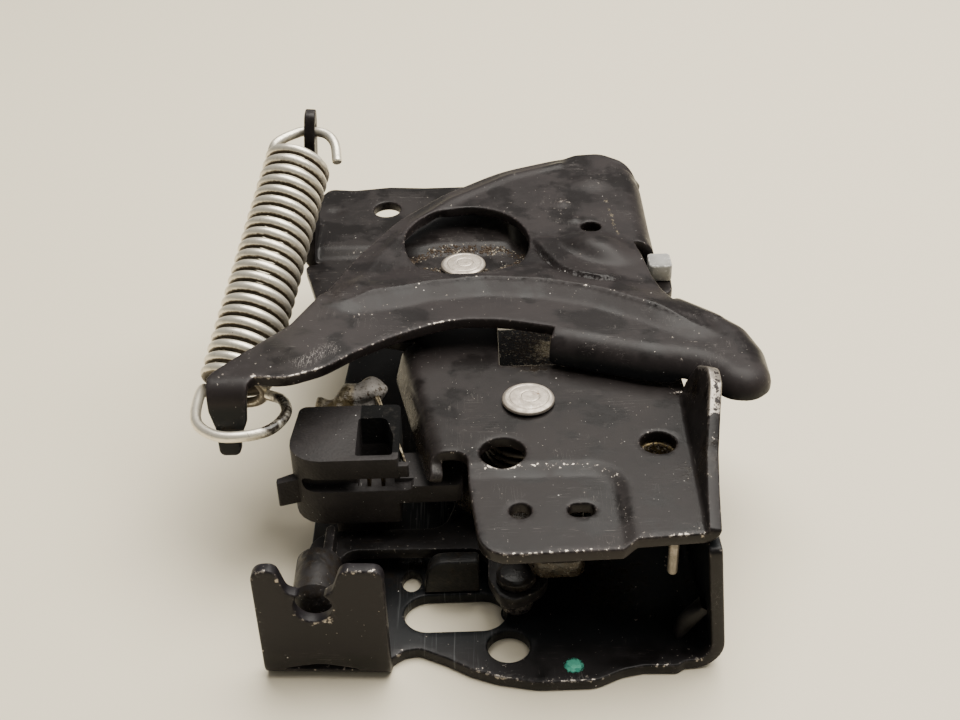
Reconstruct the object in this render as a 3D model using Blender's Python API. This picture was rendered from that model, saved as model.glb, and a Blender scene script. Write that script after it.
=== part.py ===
"""Bonnet latch: a folded sheet-steel frame with a claw, a pawl, a cable release lever, a microswitch
housing and a big pressed safety lever that a tension spring pulls back against its stop.

The numbers are millimetres until a mesh is handed over, where MM turns them into metres.
X runs to the latch's mouth, Y to the anchor end of the tension spring, Z up from the base plate.
"""
import math

import bmesh
import bpy
from mathutils import Matrix, Vector
from mathutils.geometry import delaunay_2d_cdt

# Units, sheet and clearances
MM = 0.001
SHEET = 3.0
SEAT_GAP = 0.3
RUN_GAP = 0.3
CENTRE = (0.04, -0.31)

# Heights of the layers above the floor
DECK_TOP = 38.0
DECK_UNDER = DECK_TOP - SHEET
PANEL_DROP = 1.2
REAR_RISE = 2.0
RELEASE_LOW = 8.0
RELEASE_HIGH = RELEASE_LOW + SHEET
CLAW_LOW = 16.0
CLAW_THICK = 5.0
CLAW_HIGH = CLAW_LOW + CLAW_THICK
LEVER_TOP = 47.0
LEVER_ARM_RISE = 4.0
BASE_FRONT = -84.0

# Axes seen from above
CLAW_AXIS = (11.5, -31.8)
PAWL_AXIS = (-4.0, 35.0)
RELEASE_AXIS = (7.0, BASE_FRONT + 18.5)
LEVER_AXIS = (24.0, 50.0)

# Stepped rivets that carry the claw and the pawl
RIVET_HEAD_R = 6.5
RIVET_HEAD_H = 1.3
RIVET_SHANK_R = 4.5
RIVET_BARREL_R = 6.0
RIVET_TAIL_R = 4.0
SPACER_WALL = 2.6

# Cable bracket
BRACKET_TALL = 33.4
KEYHOLE_R = 4.3

# Tension spring
WIRE_R = 1.35
COIL_R = 7.75
COIL_TURNS = 21
SPRING_LOW = Vector((-62.0, -24.0, 38.2))
SPRING_HIGH = Vector((-48.2, 36.5, 71.5))

FRAME_BLACK = ((0.030, 0.027, 0.027), 0.42, 0.25)
PLASTIC_BLACK = ((0.040, 0.036, 0.036), 0.62, 0.0)
ZINC = ((0.55, 0.53, 0.49), 0.38, 0.95)
SPRING_STEEL = ((0.60, 0.57, 0.52), 0.32, 1.0)
GREY_PLASTIC = ((0.42, 0.41, 0.39), 0.55, 0.0)
BRASS = ((0.62, 0.48, 0.22), 0.35, 1.0)


def clear_scene():
    for item in list(bpy.data.objects):
        bpy.data.objects.remove(item, do_unlink=True)


def principled(name, finish):
    colour, roughness, metallic = finish
    material = bpy.data.materials.new(name)
    material.use_nodes = True
    shader = material.node_tree.nodes["Principled BSDF"]
    shader.inputs["Base Color"].default_value = (*colour, 1.0)
    shader.inputs["Roughness"].default_value = roughness
    shader.inputs["Metallic"].default_value = metallic
    return material


# Outlines

def rounded(corners, steps=4):
    """A closed outline from corners (x, y) or (x, y, radius)."""
    points = []
    count = len(corners)
    for index, corner in enumerate(corners):
        here = Vector(corner[:2])
        radius = corner[2] if len(corner) > 2 else 0.0
        back = Vector(corners[index - 1][:2]) - here
        ahead = Vector(corners[(index + 1) % count][:2]) - here
        angle = back.angle(ahead, 0.0)
        if radius <= 0.0 or angle < 0.02 or angle > math.pi - 0.02:
            points.append(tuple(here))
            continue
        reach = min(radius / math.tan(angle / 2), 0.48 * back.length, 0.48 * ahead.length)
        radius = reach * math.tan(angle / 2)
        inward = (back.normalized() + ahead.normalized()).normalized()
        middle = here + inward * (radius / math.sin(angle / 2))
        first = here + back.normalized() * reach - middle
        last = here + ahead.normalized() * reach - middle
        sweep = first.angle_signed(last, 0.0)
        for step in range(steps + 1):
            turn = -sweep * step / steps
            points.append(tuple(middle + Matrix.Rotation(turn, 2) @ first))
    return points


def circle(centre, radius, count=28, stretch=1.0):
    """A round or, with stretch along Y, an oval outline."""
    points = []
    for index in range(count):
        angle = 2 * math.pi * index / count
        points.append((centre[0] + radius * math.cos(angle),
                       centre[1] + radius * stretch * math.sin(angle)))
    return points


def obround(centre, length, width, steps=8):
    """A slot with round ends along X."""
    half = (length - width) / 2
    points = []
    for side in (1, -1):
        for step in range(steps + 1):
            angle = -math.pi / 2 + math.pi * step / steps
            points.append((centre[0] + side * (half + width / 2 * math.cos(angle)),
                           centre[1] + side * width / 2 * math.sin(angle)))
    return points


def divided(loop, spacing):
    """The same closed outline with no side longer than the spacing."""
    points = []
    for index, start in enumerate(loop):
        start = Vector(start)
        side = Vector(loop[(index + 1) % len(loop)]) - start
        parts = max(1, math.ceil(side.length / spacing))
        for part in range(parts):
            points.append(tuple(start + side * part / parts))
    return points


def inside(point, loop):
    x, y = point
    hit = False
    for index in range(len(loop)):
        x1, y1 = loop[index - 1]
        x2, y2 = loop[index]
        if (y1 > y) != (y2 > y) and x < (x2 - x1) * (y - y1) / (y2 - y1) + x1:
            hit = not hit
    return hit


def beside(point, line):
    """Distance from an open line, place along it from 0 to 1, nearest point on it, and side (1 is left)."""
    here = Vector(point)
    best = (1e9, 0.0, here, 0)
    total = len(line) - 1
    for index in range(total):
        start = Vector(line[index])
        run = Vector(line[index + 1]) - start
        share = max(0.0, min(1.0, (here - start).dot(run) / run.length_squared))
        foot = start + run * share
        gap = (here - foot).length
        if gap < best[0]:
            side = 1 if run.x * (here.y - start.y) - run.y * (here.x - start.x) > 0 else -1
            best = (gap, (index + share) / total, foot, side)
    return best


def rows_beside(line, side, offsets, pitch):
    """Points in rows beside an open line, at the given distances."""
    points = []
    for a, b in zip(line, line[1:]):
        start = Vector(a)
        run = Vector(b) - start
        square = Vector((-run.y, run.x)).normalized() * side
        parts = max(1, round(run.length / pitch))
        for offset in offsets:
            points += [tuple(start + run * ((i + 0.5) / parts) + square * offset) for i in range(parts)]
    return points


def line_beside(line, side, distance, fan=3):
    """An open line at a distance from another, with its outer corners fanned out."""
    points = []
    for index, corner in enumerate(line):
        squares = []
        for a, b in ((index - 1, index), (index, index + 1)):
            if 0 <= a and b < len(line):
                run = Vector(line[b]) - Vector(line[a])
                squares.append(Vector((-run.y, run.x)).normalized() * side)
        turn = squares[0].angle_signed(squares[-1], 0.0)
        if turn * side > 0.12:
            spokes = [Matrix.Rotation(-turn * i / fan, 2) @ squares[0] for i in range(fan + 1)]
        else:
            spokes = [(squares[0] + squares[-1]).normalized() / math.cos(turn / 2)]
        points += [tuple(Vector(corner) + spoke * distance) for spoke in spokes]
    return points


def smooth(low, high, value):
    share = max(0.0, min(1.0, (value - low) / (high - low)))
    return share * share * (3 - 2 * share)


# Solids as bmesh

def faced_out(mesh):
    """Points every face of a closed solid outwards."""
    bmesh.ops.recalc_face_normals(mesh, faces=mesh.faces[:])
    if mesh.calc_volume(signed=True) < 0:
        bmesh.ops.reverse_faces(mesh, faces=mesh.faces[:])
    return mesh


def slab(outline, holes, place, extra=()):
    """A closed slab with through holes. place(x, y, depth) puts each point, with depth 0 on top."""
    verts = []
    edges = []
    for loop in [outline, *holes]:
        first = len(verts)
        verts.extend(Vector(p) for p in loop)
        for index in range(len(loop)):
            edges.append((first + index, first + (index + 1) % len(loop)))
    verts.extend(Vector(p) for p in extra)
    flat, _, faces, _, _, _ = delaunay_2d_cdt(verts, edges, [], 0, 1e-5)
    kept = []
    for face in faces:
        middle = sum((flat[i] for i in face), Vector((0, 0))) / len(face)
        if inside(middle, outline) and not any(inside(middle, hole) for hole in holes):
            kept.append(face)
    mesh = bmesh.new()
    high = {}
    low = {}
    for index in sorted({i for face in kept for i in face}):
        x, y = flat[index]
        high[index] = mesh.verts.new(place(x, y, 0.0))
        low[index] = mesh.verts.new(place(x, y, SHEET))
    sides = set()
    for face in kept:
        mesh.faces.new([high[i] for i in face])
        mesh.faces.new([low[i] for i in reversed(face)])
        sides.update(zip(face, face[1:] + face[:1]))
    for a, b in sorted(sides):
        if (b, a) not in sides:
            mesh.faces.new([low[a], low[b], high[b], high[a]])
    return faced_out(mesh)


def flat_plate(outline, low, high, holes=()):
    return slab(outline, holes, lambda x, y, depth: (x, y, low if depth else high))


class Fold:
    """A bend of the blank: what lies on one side of a line (1 is left) turns up or down from it."""

    def __init__(self, line, side, radius, degrees, up, zone, fade=None):
        self.line = line
        self.side = side
        self.radius = radius
        self.angle = math.radians(degrees)
        self.up = up
        self.zone = zone
        self.fade = fade

    def length(self):
        """Length of blank that the bend takes up."""
        return self.angle * (self.radius + SHEET / 2)

    def carried(self, x, y, depth, surface):
        """Where a point of the blank goes, or None where the fold leaves it alone."""
        gap, place, foot, side = beside((x, y), self.line)
        if side != self.side or gap < 1e-6 or not self.zone(x, y):
            return None
        angle = max(1e-3, self.angle * (self.fade(place) if self.fade else 1.0))
        turn = min(gap / (self.radius + SHEET / 2), angle)
        straight = max(0.0, gap - angle * (self.radius + SHEET / 2))
        around = self.radius + (depth if self.up else SHEET - depth)
        reach = around * math.sin(turn) + straight * math.cos(turn)
        rise = self.radius - around * math.cos(turn) + straight * math.sin(turn)
        flat = foot + (Vector((x, y)) - foot) / gap * reach
        return (flat.x, flat.y, surface + rise if self.up else surface - SHEET - rise)


def pressed(outline, holes, top, folds, extra, square=0.0):
    """A blank pressed to the surface top(x, y) and folded. Square 1 keeps its full thickness on slopes."""
    step = 0.4

    def place(x, y, depth):
        surface = top(x, y)
        for fold in folds:
            point = fold.carried(x, y, depth, surface)
            if point:
                return point
        slope_x = square * (top(x + step, y) - top(x - step, y)) / (2 * step)
        slope_y = square * (top(x, y + step) - top(x, y - step)) / (2 * step)
        drop = depth / math.sqrt(1 + slope_x ** 2 + slope_y ** 2)
        return (x + slope_x * drop, y + slope_y * drop, surface - drop)

    mesh = slab(outline, holes, place, extra)
    bmesh.ops.triangulate(mesh, faces=mesh.faces[:])
    return faced_out(mesh)


def spread(points, outline, holes, edge_gap, apart):
    """The points that lie in the blank, clear of its edges and not crowded."""
    loops = [[*loop, loop[0]] for loop in (outline, *holes)]
    kept = []
    for point in points:
        if not inside(point, outline) or any(inside(point, hole) for hole in holes):
            continue
        if min(beside(point, loop)[0] for loop in loops) < edge_gap:
            continue
        if all((Vector(point) - Vector(k)).length > apart for k in kept):
            kept.append(point)
    return kept


def along(mesh, axis):
    """Turns a plate drawn in X and Y so that its thickness runs along the named axis."""
    order = {"X": lambda c: (c[2], c[0], c[1]), "Y": lambda c: (c[0], c[2], c[1])}[axis]
    for vert in mesh.verts:
        vert.co = Vector(order(vert.co))
    return faced_out(mesh)


def revolved(profile, centre, count=32):
    """Turns (radius, height) points about an upright axis. A profile that misses the axis makes a ring."""
    ring = all(radius > 0 for radius, _ in profile)
    mesh = bmesh.new()
    columns = []
    poles = {}
    for step in range(count):
        angle = 2 * math.pi * step / count
        column = []
        for index, (radius, height) in enumerate(profile):
            if radius == 0 and index in poles:
                column.append(poles[index])
                continue
            place = (centre[0] + radius * math.cos(angle), centre[1] + radius * math.sin(angle), height)
            vert = mesh.verts.new(place)
            if radius == 0:
                poles[index] = vert
            column.append(vert)
        columns.append(column)
    spans = list(zip(range(len(profile)), range(1, len(profile))))
    if ring:
        spans.append((len(profile) - 1, 0))
    for step in range(count):
        here = columns[step]
        following = columns[(step + 1) % count]
        for a, b in spans:
            corners = [here[a], following[a], following[b], here[b]]
            unique = [v for i, v in enumerate(corners) if v not in corners[:i]]
            mesh.faces.new(unique)
    return faced_out(mesh)


def tube(path, radius, sides=5):
    """Round wire along a path, with flat ends."""
    mesh = bmesh.new()
    points = [Vector(p) for p in path]
    normal = None
    rings = []
    for index, point in enumerate(points):
        ahead = points[min(index + 1, len(points) - 1)] - points[max(index - 1, 0)]
        ahead.normalize()
        if normal is None:
            normal = ahead.orthogonal()
        normal = (normal - ahead * normal.dot(ahead)).normalized()
        across = ahead.cross(normal)
        ring = []
        for side in range(sides):
            angle = 2 * math.pi * side / sides
            spoke = normal * math.cos(angle) + across * math.sin(angle)
            ring.append(mesh.verts.new(point + spoke * radius))
        rings.append(ring)
    for first, second in zip(rings, rings[1:]):
        for side in range(sides):
            other = (side + 1) % sides
            mesh.faces.new([first[side], first[other], second[other], second[side]])
    mesh.faces.new(rings[0])
    mesh.faces.new(rings[-1])
    return faced_out(mesh)


def curve_through(points, per_span=6):
    """A smooth path through the points."""
    points = [Vector(p) for p in points]
    padded = [points[0] * 2 - points[1], *points, points[-1] * 2 - points[-2]]
    path = []
    for index in range(1, len(padded) - 2):
        a, b, c, d = padded[index - 1:index + 3]
        for step in range(per_span):
            t = step / per_span
            path.append(0.5 * (2 * b + (c - a) * t + (2 * a - 5 * b + 4 * c - d) * t ** 2
                               + (3 * b - a - 3 * c + d) * t ** 3))
    path.append(points[-1])
    return path


def temporary(mesh):
    data = bpy.data.meshes.new("shape")
    mesh.to_mesh(data)
    mesh.free()
    item = bpy.data.objects.new("shape", data)
    bpy.context.scene.collection.objects.link(item)
    return item


def combined(mesh, additions=(), cuts=(), keep=None):
    """Joins, cuts and crops solids with exact Booleans and gives the result back as one bmesh."""
    target = temporary(mesh)
    tools = [(temporary(tool), "UNION") for tool in additions]
    tools += [(temporary(tool), "DIFFERENCE") for tool in cuts]
    if keep is not None:
        tools.append((temporary(keep), "INTERSECT"))
    for tool, operation in tools:
        modifier = target.modifiers.new(operation.title(), "BOOLEAN")
        modifier.operation = operation
        modifier.object = tool
    evaluated = target.evaluated_get(bpy.context.evaluated_depsgraph_get())
    result = bmesh.new()
    result.from_mesh(evaluated.to_mesh())
    evaluated.to_mesh_clear()
    for item in [target, *(tool for tool, _ in tools)]:
        data = item.data
        bpy.data.objects.remove(item, do_unlink=True)
        bpy.data.meshes.remove(data)
    bmesh.ops.remove_doubles(result, verts=result.verts[:], dist=0.002)
    bmesh.ops.dissolve_degenerate(result, dist=0.001, edges=result.edges[:])
    return result


def placed(name, mesh, finish, axis=(0.0, 0.0, 0.0)):
    """Makes the named object, with its origin on the axis given."""
    mesh.transform(Matrix.Scale(MM, 4) @ Matrix.Translation(-Vector(axis)))
    bmesh.ops.triangulate(mesh, faces=[f for f in mesh.faces if len(f.verts) > 4])
    data = bpy.data.meshes.new(name)
    mesh.to_mesh(data)
    mesh.free()
    data.shade_smooth()
    data.set_sharp_from_angle(angle=math.radians(34))
    data.materials.append(principled(name, finish))
    item = bpy.data.objects.new(name, data)
    item.location = (Vector(axis) - Vector((CENTRE[0], CENTRE[1], 0))) * MM
    bpy.context.scene.collection.objects.link(item)
    return item


# Base frame: plate, right wall and cable bracket folded from one sheet

MOUTH_LOW = -15.5
MOUTH_HIGH = 11.0
MOUTH_END = 5.0
WALL_FOLD_X = 47.0
WALL_REAR = -27.0
WALL_LEAN = 95.0
WALL_STRAIGHT = 27.2
BRACKET_LEFT = -51.0
BRACKET_RIGHT = -22.2
BRACKET_BEND_R = 1.4
BRACKET_TURN = math.radians(-3.0)
KEYHOLE = (-38.2, BRACKET_TALL - 10.8)
BASE_SLOT = ((-7.6, BASE_FRONT + 16.4), 24.4, 12.0)
BASE_HOLE = ((4.65, BASE_FRONT + 5.2), 4.9)
BASE_NOTCH = (-18.2, BASE_FRONT + 27.6)


def on_bracket(x, height, *radius):
    """A point of the bracket, at an X and height above the floor, laid out flat before its fold line."""
    fold = BRACKET_BEND_R + SHEET
    ahead = -math.pi / 2 * (BRACKET_BEND_R + SHEET / 2) - (height - fold)
    return (*from_fold(x, ahead), *radius)


def from_fold(x, ahead):
    """A point of the blank at an X and a distance from the bracket's fold line, which is a little askew."""
    offset = Matrix.Rotation(BRACKET_TURN, 2) @ Vector((x - BRACKET_RIGHT, BRACKET_BEND_R + SHEET + ahead))
    return (BRACKET_RIGHT + offset.x, BASE_FRONT + offset.y)


def bracket_corners():
    """The bracket's edge from its left foot over the keyhole to its right foot."""
    key_x, key_z = KEYHOLE
    mouth = 130
    corners = [on_bracket(BRACKET_LEFT, 5.0), on_bracket(BRACKET_LEFT, BRACKET_TALL - 0.5, 3.0),
               on_bracket(-45.6, BRACKET_TALL, 2.2),
               on_bracket(key_x - KEYHOLE_R - 1.2, BRACKET_TALL - 6.5, 2.0)]
    for step in range(9):
        angle = math.radians(mouth + step * (540 - 2 * mouth) / 8)
        corners.append(on_bracket(key_x + KEYHOLE_R * math.cos(angle), key_z + KEYHOLE_R * math.sin(angle)))
    return corners + [on_bracket(key_x + KEYHOLE_R + 0.4, BRACKET_TALL - 6.0, 2.0),
                      on_bracket(key_x + KEYHOLE_R + 2.5, BRACKET_TALL, 2.5),
                      on_bracket(BRACKET_RIGHT, BRACKET_TALL, 2.5), on_bracket(BRACKET_RIGHT, 5.0)]


def base_outline():
    wall_edge = WALL_FOLD_X + wall_fold().length() + WALL_STRAIGHT
    front = BASE_FRONT
    return rounded([
        *bracket_corners(), (*from_fold(BRACKET_RIGHT, -0.4), 0.6),
        (-19.4, front + 4.6, 3), (-16.0, front + 5.2, 3), (-10.0, front + 2.2, 3), (-4.0, front - 1.6, 4),
        (2.0, front - 4.0, 9), (11.0, front - 6.2, 14), (22.5, front - 6.0, 8), (28.5, front - 2.4, 8),
        (34.0, front - 1.0, 5), (42.0, front - 1.3, 2), (44.0, front + 0.2, 2), (50.0, front + 0.8),
        (wall_edge, front + 0.8, 1.5), (wall_edge, WALL_REAR, 2), (WALL_FOLD_X + 0.4, WALL_REAR, 0.6),
        (WALL_FOLD_X - 0.6, WALL_REAR + 5, 3), (46.0, MOUTH_LOW, 3), (MOUTH_END, MOUTH_LOW, 3),
        (MOUTH_END, MOUTH_HIGH, 3), (42.0, MOUTH_HIGH, 4), (46.0, 18.0, 5), (45.0, 44.0, 8),
        (36.0, 56.0, 8), (-22.0, 56.0, 8), (-30.0, 42.0, 10), (-34.0, 0.0, 20),
        (-42.0, -32.0, 10), (-44.0, front + 20, 4),
        (-50.8, front + 10, 3), (*from_fold(BRACKET_LEFT, 0.6), 0.5)], 3)


def wall_fold():
    line = [(WALL_FOLD_X, BASE_FRONT - 4), (WALL_FOLD_X, WALL_REAR)]
    return Fold(line, -1, 4.0, WALL_LEAN, True, lambda x, y: y < WALL_REAR + 0.2)


def base_frame():
    """Each fold starts or ends at an edge, and the bracket's bend has a relief hole half way along it."""
    across = [from_fold(BRACKET_LEFT - 2, 0), from_fold(BRACKET_RIGHT + 0.8, 0)]
    bracket = Fold(across, -1, BRACKET_BEND_R, 90, True, lambda x, y: x < BRACKET_RIGHT + 0.7)
    foot = BRACKET_BEND_R + SHEET
    relief = rounded([(*from_fold(-42.6, 1.2), 3), (*from_fold(-37.0, 1.2), 3),
                      on_bracket(-36.4, foot - 1, 4), on_bracket(-39.7, foot - 0.1, 2.4),
                      on_bracket(-43.4, foot - 1, 4)], 2)
    holes = [circle(*BASE_HOLE), obround(*BASE_SLOT), circle(BASE_NOTCH, 2.4, 14, 1.5), relief]
    holes += [circle(axis, RIVET_TAIL_R + SEAT_GAP, 24) for axis in (CLAW_AXIS, PAWL_AXIS)]
    holes.append(circle(RELEASE_AXIS, RELEASE_TAIL_R + SEAT_GAP, 20))
    wall = wall_fold()
    outline = base_outline()
    rows = rows_beside(wall.line, -1, [wall.length() * i / 6 for i in range(7)], 14.0)
    rows += rows_beside(across, -1, [bracket.length() * i / 4 for i in range(5)], 4.0)
    points = spread(rows, outline, holes, 0.5, 0.6)
    plate = pressed(outline, holes, lambda x, y: SHEET, [wall, bracket], points)
    corner = WALL_FOLD_X + 4.8
    dart = along(flat_plate([(44.0, SHEET - 0.4), (corner, SHEET - 0.4), (corner, 13.0)],
                            BASE_FRONT + 6.0, BASE_FRONT + 9.6), "Y")
    placed("base_frame", combined(plate, [dart]), FRAME_BLACK)


# Main plate: the upper deck with its dropped panel, raised rear deck, ear, side flange and spring anchor

EAR_SPLAY = 0.044
EAR_BEND_R = 1.2
BUSH_HOLE = ((41.1, -49.3), 4.2)
PANEL_EDGE_X = 31.0
REAR_STEP_Y = 44.0
REAR_STEP_X = 11.0
STUD_SHANK_R = 5.0
STUD_TAIL_R = 3.6
STUD_HEAD_R = 8.5
ANCHOR_HOLE = (47.5, 76.0)
TAB_FOLD_X = -45.8
TAB_BEND_R = 1.2
TAB_LEAN = 94.9
HOOK_LOOP_Z = 40.0
SIDE_BEND_R = 1.0
SIDE_LINE = [(-21.0, -5.0), (-12.0, -55.0)]
BUFFER_AT = (51.2, 27.0)
BUFFER_PEG_R = 1.8
DIMPLE = (-43.1, 68.0)
DIMPLE_R = 3.2


def ear_fold():
    line = [(46.3 + EAR_SPLAY * (y + 55.0), y) for y in (-85.0, -30.2)]
    return Fold(line, -1, EAR_BEND_R, 86, True, lambda x, y: y < -30.1)


def on_ear(y, height, *radius):
    """A point of the ear, at a Y and height, laid out flat."""
    (x, _), (x_end, y_end) = ear_fold().line
    foot = x_end + EAR_SPLAY * (y - y_end)
    return (foot + ear_fold().length() + height - DECK_TOP - EAR_BEND_R, y, *radius)


def from_side(place, beyond, *radius):
    """A point of the blank beside the side flange's fold: how far along it, and how far beyond it."""
    start, end = (Vector(p) for p in SIDE_LINE)
    run = (end - start).normalized()
    inset = SIDE_BEND_R + SHEET
    point = start + run * place + Vector((run.y, -run.x)) * (beyond - inset)
    return (point.x, point.y, *radius)


def side_fold():
    length = (Vector(SIDE_LINE[1]) - Vector(SIDE_LINE[0])).length
    line = [from_side(-0.4, 0), from_side(length + 1.0, 0)]
    return Fold(line, -1, SIDE_BEND_R, 90, False, lambda x, y: y < -4.6 and x < 0)


def tab_fold():
    line = [(TAB_FOLD_X, 39.9), (TAB_FOLD_X, 59.7)]
    return Fold(line, 1, TAB_BEND_R, TAB_LEAN, True, lambda x, y: 39.8 < y < 59.85)


def on_tab(y, height, *radius):
    """A point of the spring's anchor tab, at a Y and height, laid out flat."""
    rise = height - DECK_TOP - REAR_RISE - TAB_BEND_R
    return (TAB_FOLD_X - tab_fold().length() - rise, y, *radius)


def ear_corners():
    return [on_ear(-81.2, 39.4, 1.5), on_ear(-72, 42, 10), on_ear(-62, 45.5, 14), on_ear(-53, 51, 8),
            on_ear(-47.5, 54.4, 4), on_ear(-42, 54.6, 5), on_ear(-34, 49.5, 8), on_ear(-30.5, 42, 2),
            on_ear(-30.4, 38.6)]


def tab_corners():
    hole_y, hole_z = ANCHOR_HOLE
    return [on_tab(59.0, 42), on_tab(56.5, 51, 10), on_tab(hole_y + 5.1, hole_z + 2, 5),
            on_tab(hole_y + 3.1, hole_z + 5.6, 2), on_tab(hole_y - 1.5, hole_z + 5.6, 2),
            on_tab(hole_y - 3.9, hole_z, 4), on_tab(hole_y - 3.9, 57, 10), on_tab(40.5, 42)]


def side_corners():
    """The side flange's edge, from a relief slit at its rear end to the round-topped notch at its front."""
    length = (Vector(SIDE_LINE[1]) - Vector(SIDE_LINE[0])).length
    arc = side_fold().length()
    return [from_side(-1.5, 3.0), from_side(-0.6, -0.5), from_side(0.6, 3.0), from_side(2.0, arc + 6, 2),
            from_side(length - 3.0, arc + 3.4, 2), from_side(length + 0.4, arc + 1.5, 1),
            from_side(length - 0.6, 3.6), (-11.3, -50.4, 3.2), (-3.7, -50.4, 3.6)]


def deck_outline():
    return rounded([
        (-3.5, -60.0), (-1.0, -85.2, 7), (29.5, -84.4, 2), (32.6, -82.4, 2), (46.0, -81.6), (48.5, -81.5),
        *ear_corners(), (47.3, -30.0, 0.5), (46.8, -26.6, 2.2), (43.4, -25.2, 1.5), (36.0, -21.8, 8),
        (21.0, -17.0, 4), (20.0, MOUTH_LOW, 1), (MOUTH_END, MOUTH_LOW, 1), (MOUTH_END, MOUTH_HIGH, 3),
        (44.0, MOUTH_HIGH, 4), (54.0, 19.0, 4), (55.0, 34.0, 4), (48.0, 46.0, 6), (44.0, 62.0, 10),
        (28.0, 76.0, 10), (14.0, 83.0, 6), (-16.0, 83.0, 4), (-27.0, 84.2, 8), (-38.0, 82.6, 8),
        (-46.0, 84.0, 3), (-50.0, 76.0, 6), (-50.0, 60.6), (TAB_FOLD_X + 0.5, 59.8), *tab_corners(),
        (TAB_FOLD_X + 0.5, 39.8), (-50.0, 39.0, 2), (-44.0, 16.0, 20), (-30.0, 0.0, 10),
        *side_corners()], 3)


def deck_top(x, y):
    panel = smooth(-53.5, -60.0, y) * smooth(PANEL_EDGE_X + 1.2, PANEL_EDGE_X - 1.2, x)
    rear = smooth(REAR_STEP_Y - 2.0, REAR_STEP_Y + 2.0, y) * smooth(REAR_STEP_X + 2.0, REAR_STEP_X - 2.0, x)
    dimple = 0.8 * max(0.0, 1.0 - math.hypot(x - DIMPLE[0], y - DIMPLE[1]) / DIMPLE_R)
    return DECK_TOP - PANEL_DROP * panel + REAR_RISE * rear - dimple


def deck_points(folds):
    """Points closer together where the deck steps or bends."""
    points = [DIMPLE, *circle(DIMPLE, DIMPLE_R, 8)]
    for fold in folds:
        offsets = [fold.length() * i / 4 for i in range(5)]
        points += rows_beside(fold.line, fold.side, offsets, 9.0)
    for x in [i * 4.0 for i in range(0, 9)]:
        points += [(x, y) for y in (-53.5, -55.6, -57.8, -60.0)]
    for y in [-62.0 - i * 4.0 for i in range(0, 6)]:
        points += [(PANEL_EDGE_X + offset, y) for offset in (-1.2, 0.0, 1.2)]
    for x in range(-48, 44, 5):
        points += [(x, REAR_STEP_Y + offset) for offset in (-2.0, -0.7, 0.7, 2.0)]
    for y in range(44, 82, 6):
        points += [(REAR_STEP_X + offset, y) for offset in (-2.0, -0.7, 0.7, 2.0)]
    return points


def main_plate():
    outline = deck_outline()
    holes = [circle(axis, RIVET_SHANK_R + SEAT_GAP, 20) for axis in (CLAW_AXIS, PAWL_AXIS)]
    holes.append(circle(LEVER_AXIS, STUD_SHANK_R + RUN_GAP, 20))
    holes += [circle(BUFFER_AT, BUFFER_PEG_R + SEAT_GAP, 12), circle((4.6, -51.2), 5.4, 24)]
    holes += [circle(*BUSH_HOLE, 24), circle((-27.2, 69.0), 4.1, 20, 1.2)]
    holes += [circle((7.9, -70.8), 2.5, 16), obround((21.4, -71.1), 6.1, 4.4, 6)]
    holes.append(circle(on_tab(*ANCHOR_HOLE), 2.0, 14))
    folds = [ear_fold(), side_fold(), tab_fold()]
    points = spread(deck_points(folds), outline, holes, 0.6, 0.7)
    placed("main_plate", pressed(outline, holes, deck_top, folds, points), FRAME_BLACK)


# Rivets, spacers and other turned pieces

RELEASE_TAIL_R = 3.0
RELEASE_BARREL_R = 3.4
RELEASE_COLLAR_R = 4.0
RELEASE_HEAD_R = 4.7


def stepped_rivet(name, axis):
    low = SEAT_GAP
    head = DECK_TOP + SEAT_GAP
    profile = [(0, low), (RIVET_TAIL_R, low), (RIVET_TAIL_R, SHEET + SEAT_GAP),
               (RIVET_BARREL_R, SHEET + SEAT_GAP), (RIVET_BARREL_R, DECK_UNDER - SEAT_GAP),
               (RIVET_SHANK_R, DECK_UNDER - SEAT_GAP), (RIVET_SHANK_R, head), (RIVET_HEAD_R - 0.3, head),
               (RIVET_HEAD_R, head + 0.3), (RIVET_HEAD_R - 0.1, head + RIVET_HEAD_H - 0.4),
               (RIVET_HEAD_R - 0.7, head + RIVET_HEAD_H), (RIVET_HEAD_R * 0.45, head + RIVET_HEAD_H + 0.12),
               (0, head + RIVET_HEAD_H + 0.15)]
    placed(name, revolved(profile, axis, 24), ZINC)


def spacer(name, axis, low, high):
    inner = RIVET_BARREL_R + RUN_GAP
    outer = inner + SPACER_WALL
    profile = [(inner, low), (outer, low), (outer, high), (inner, high)]
    placed(name, revolved(profile, axis, 24), PLASTIC_BLACK)


def release_rivet():
    seat = RELEASE_HIGH + SEAT_GAP
    profile = [(0, SEAT_GAP), (RELEASE_TAIL_R, SEAT_GAP), (RELEASE_TAIL_R, SHEET + SEAT_GAP),
               (RELEASE_COLLAR_R, SHEET + SEAT_GAP), (RELEASE_COLLAR_R, RELEASE_LOW - SEAT_GAP),
               (RELEASE_BARREL_R, RELEASE_LOW - SEAT_GAP), (RELEASE_BARREL_R, seat),
               (RELEASE_HEAD_R, seat), (RELEASE_HEAD_R, seat + 1.8),
               (RELEASE_HEAD_R - 1.0, seat + 2.4), (0, seat + 2.6)]
    placed("release_rivet", revolved(profile, RELEASE_AXIS, 22), ZINC)


def threaded_bush():
    high = DECK_UNDER - SEAT_GAP
    profile = [(BUSH_HOLE[1] - 0.5, high - 7.5), (6.4, high - 7.5), (6.9, high - 7.0), (6.9, high - 0.4),
               (6.5, high), (BUSH_HOLE[1] - 0.2, high), (BUSH_HOLE[1] - 0.5, high - 0.5)]
    placed("threaded_bush", revolved(profile, BUSH_HOLE[0], 24), FRAME_BLACK)


def stop_pin():
    high = DECK_UNDER - SEAT_GAP
    profile = [(0, high - 10.0), (0.9, high - 10.0), (1.2, high - 9.6), (1.2, high), (0, high)]
    placed("stop_pin", revolved(profile, (41.0, -79.0), 12), ZINC)


# Claw, pawl and cable release lever

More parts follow.
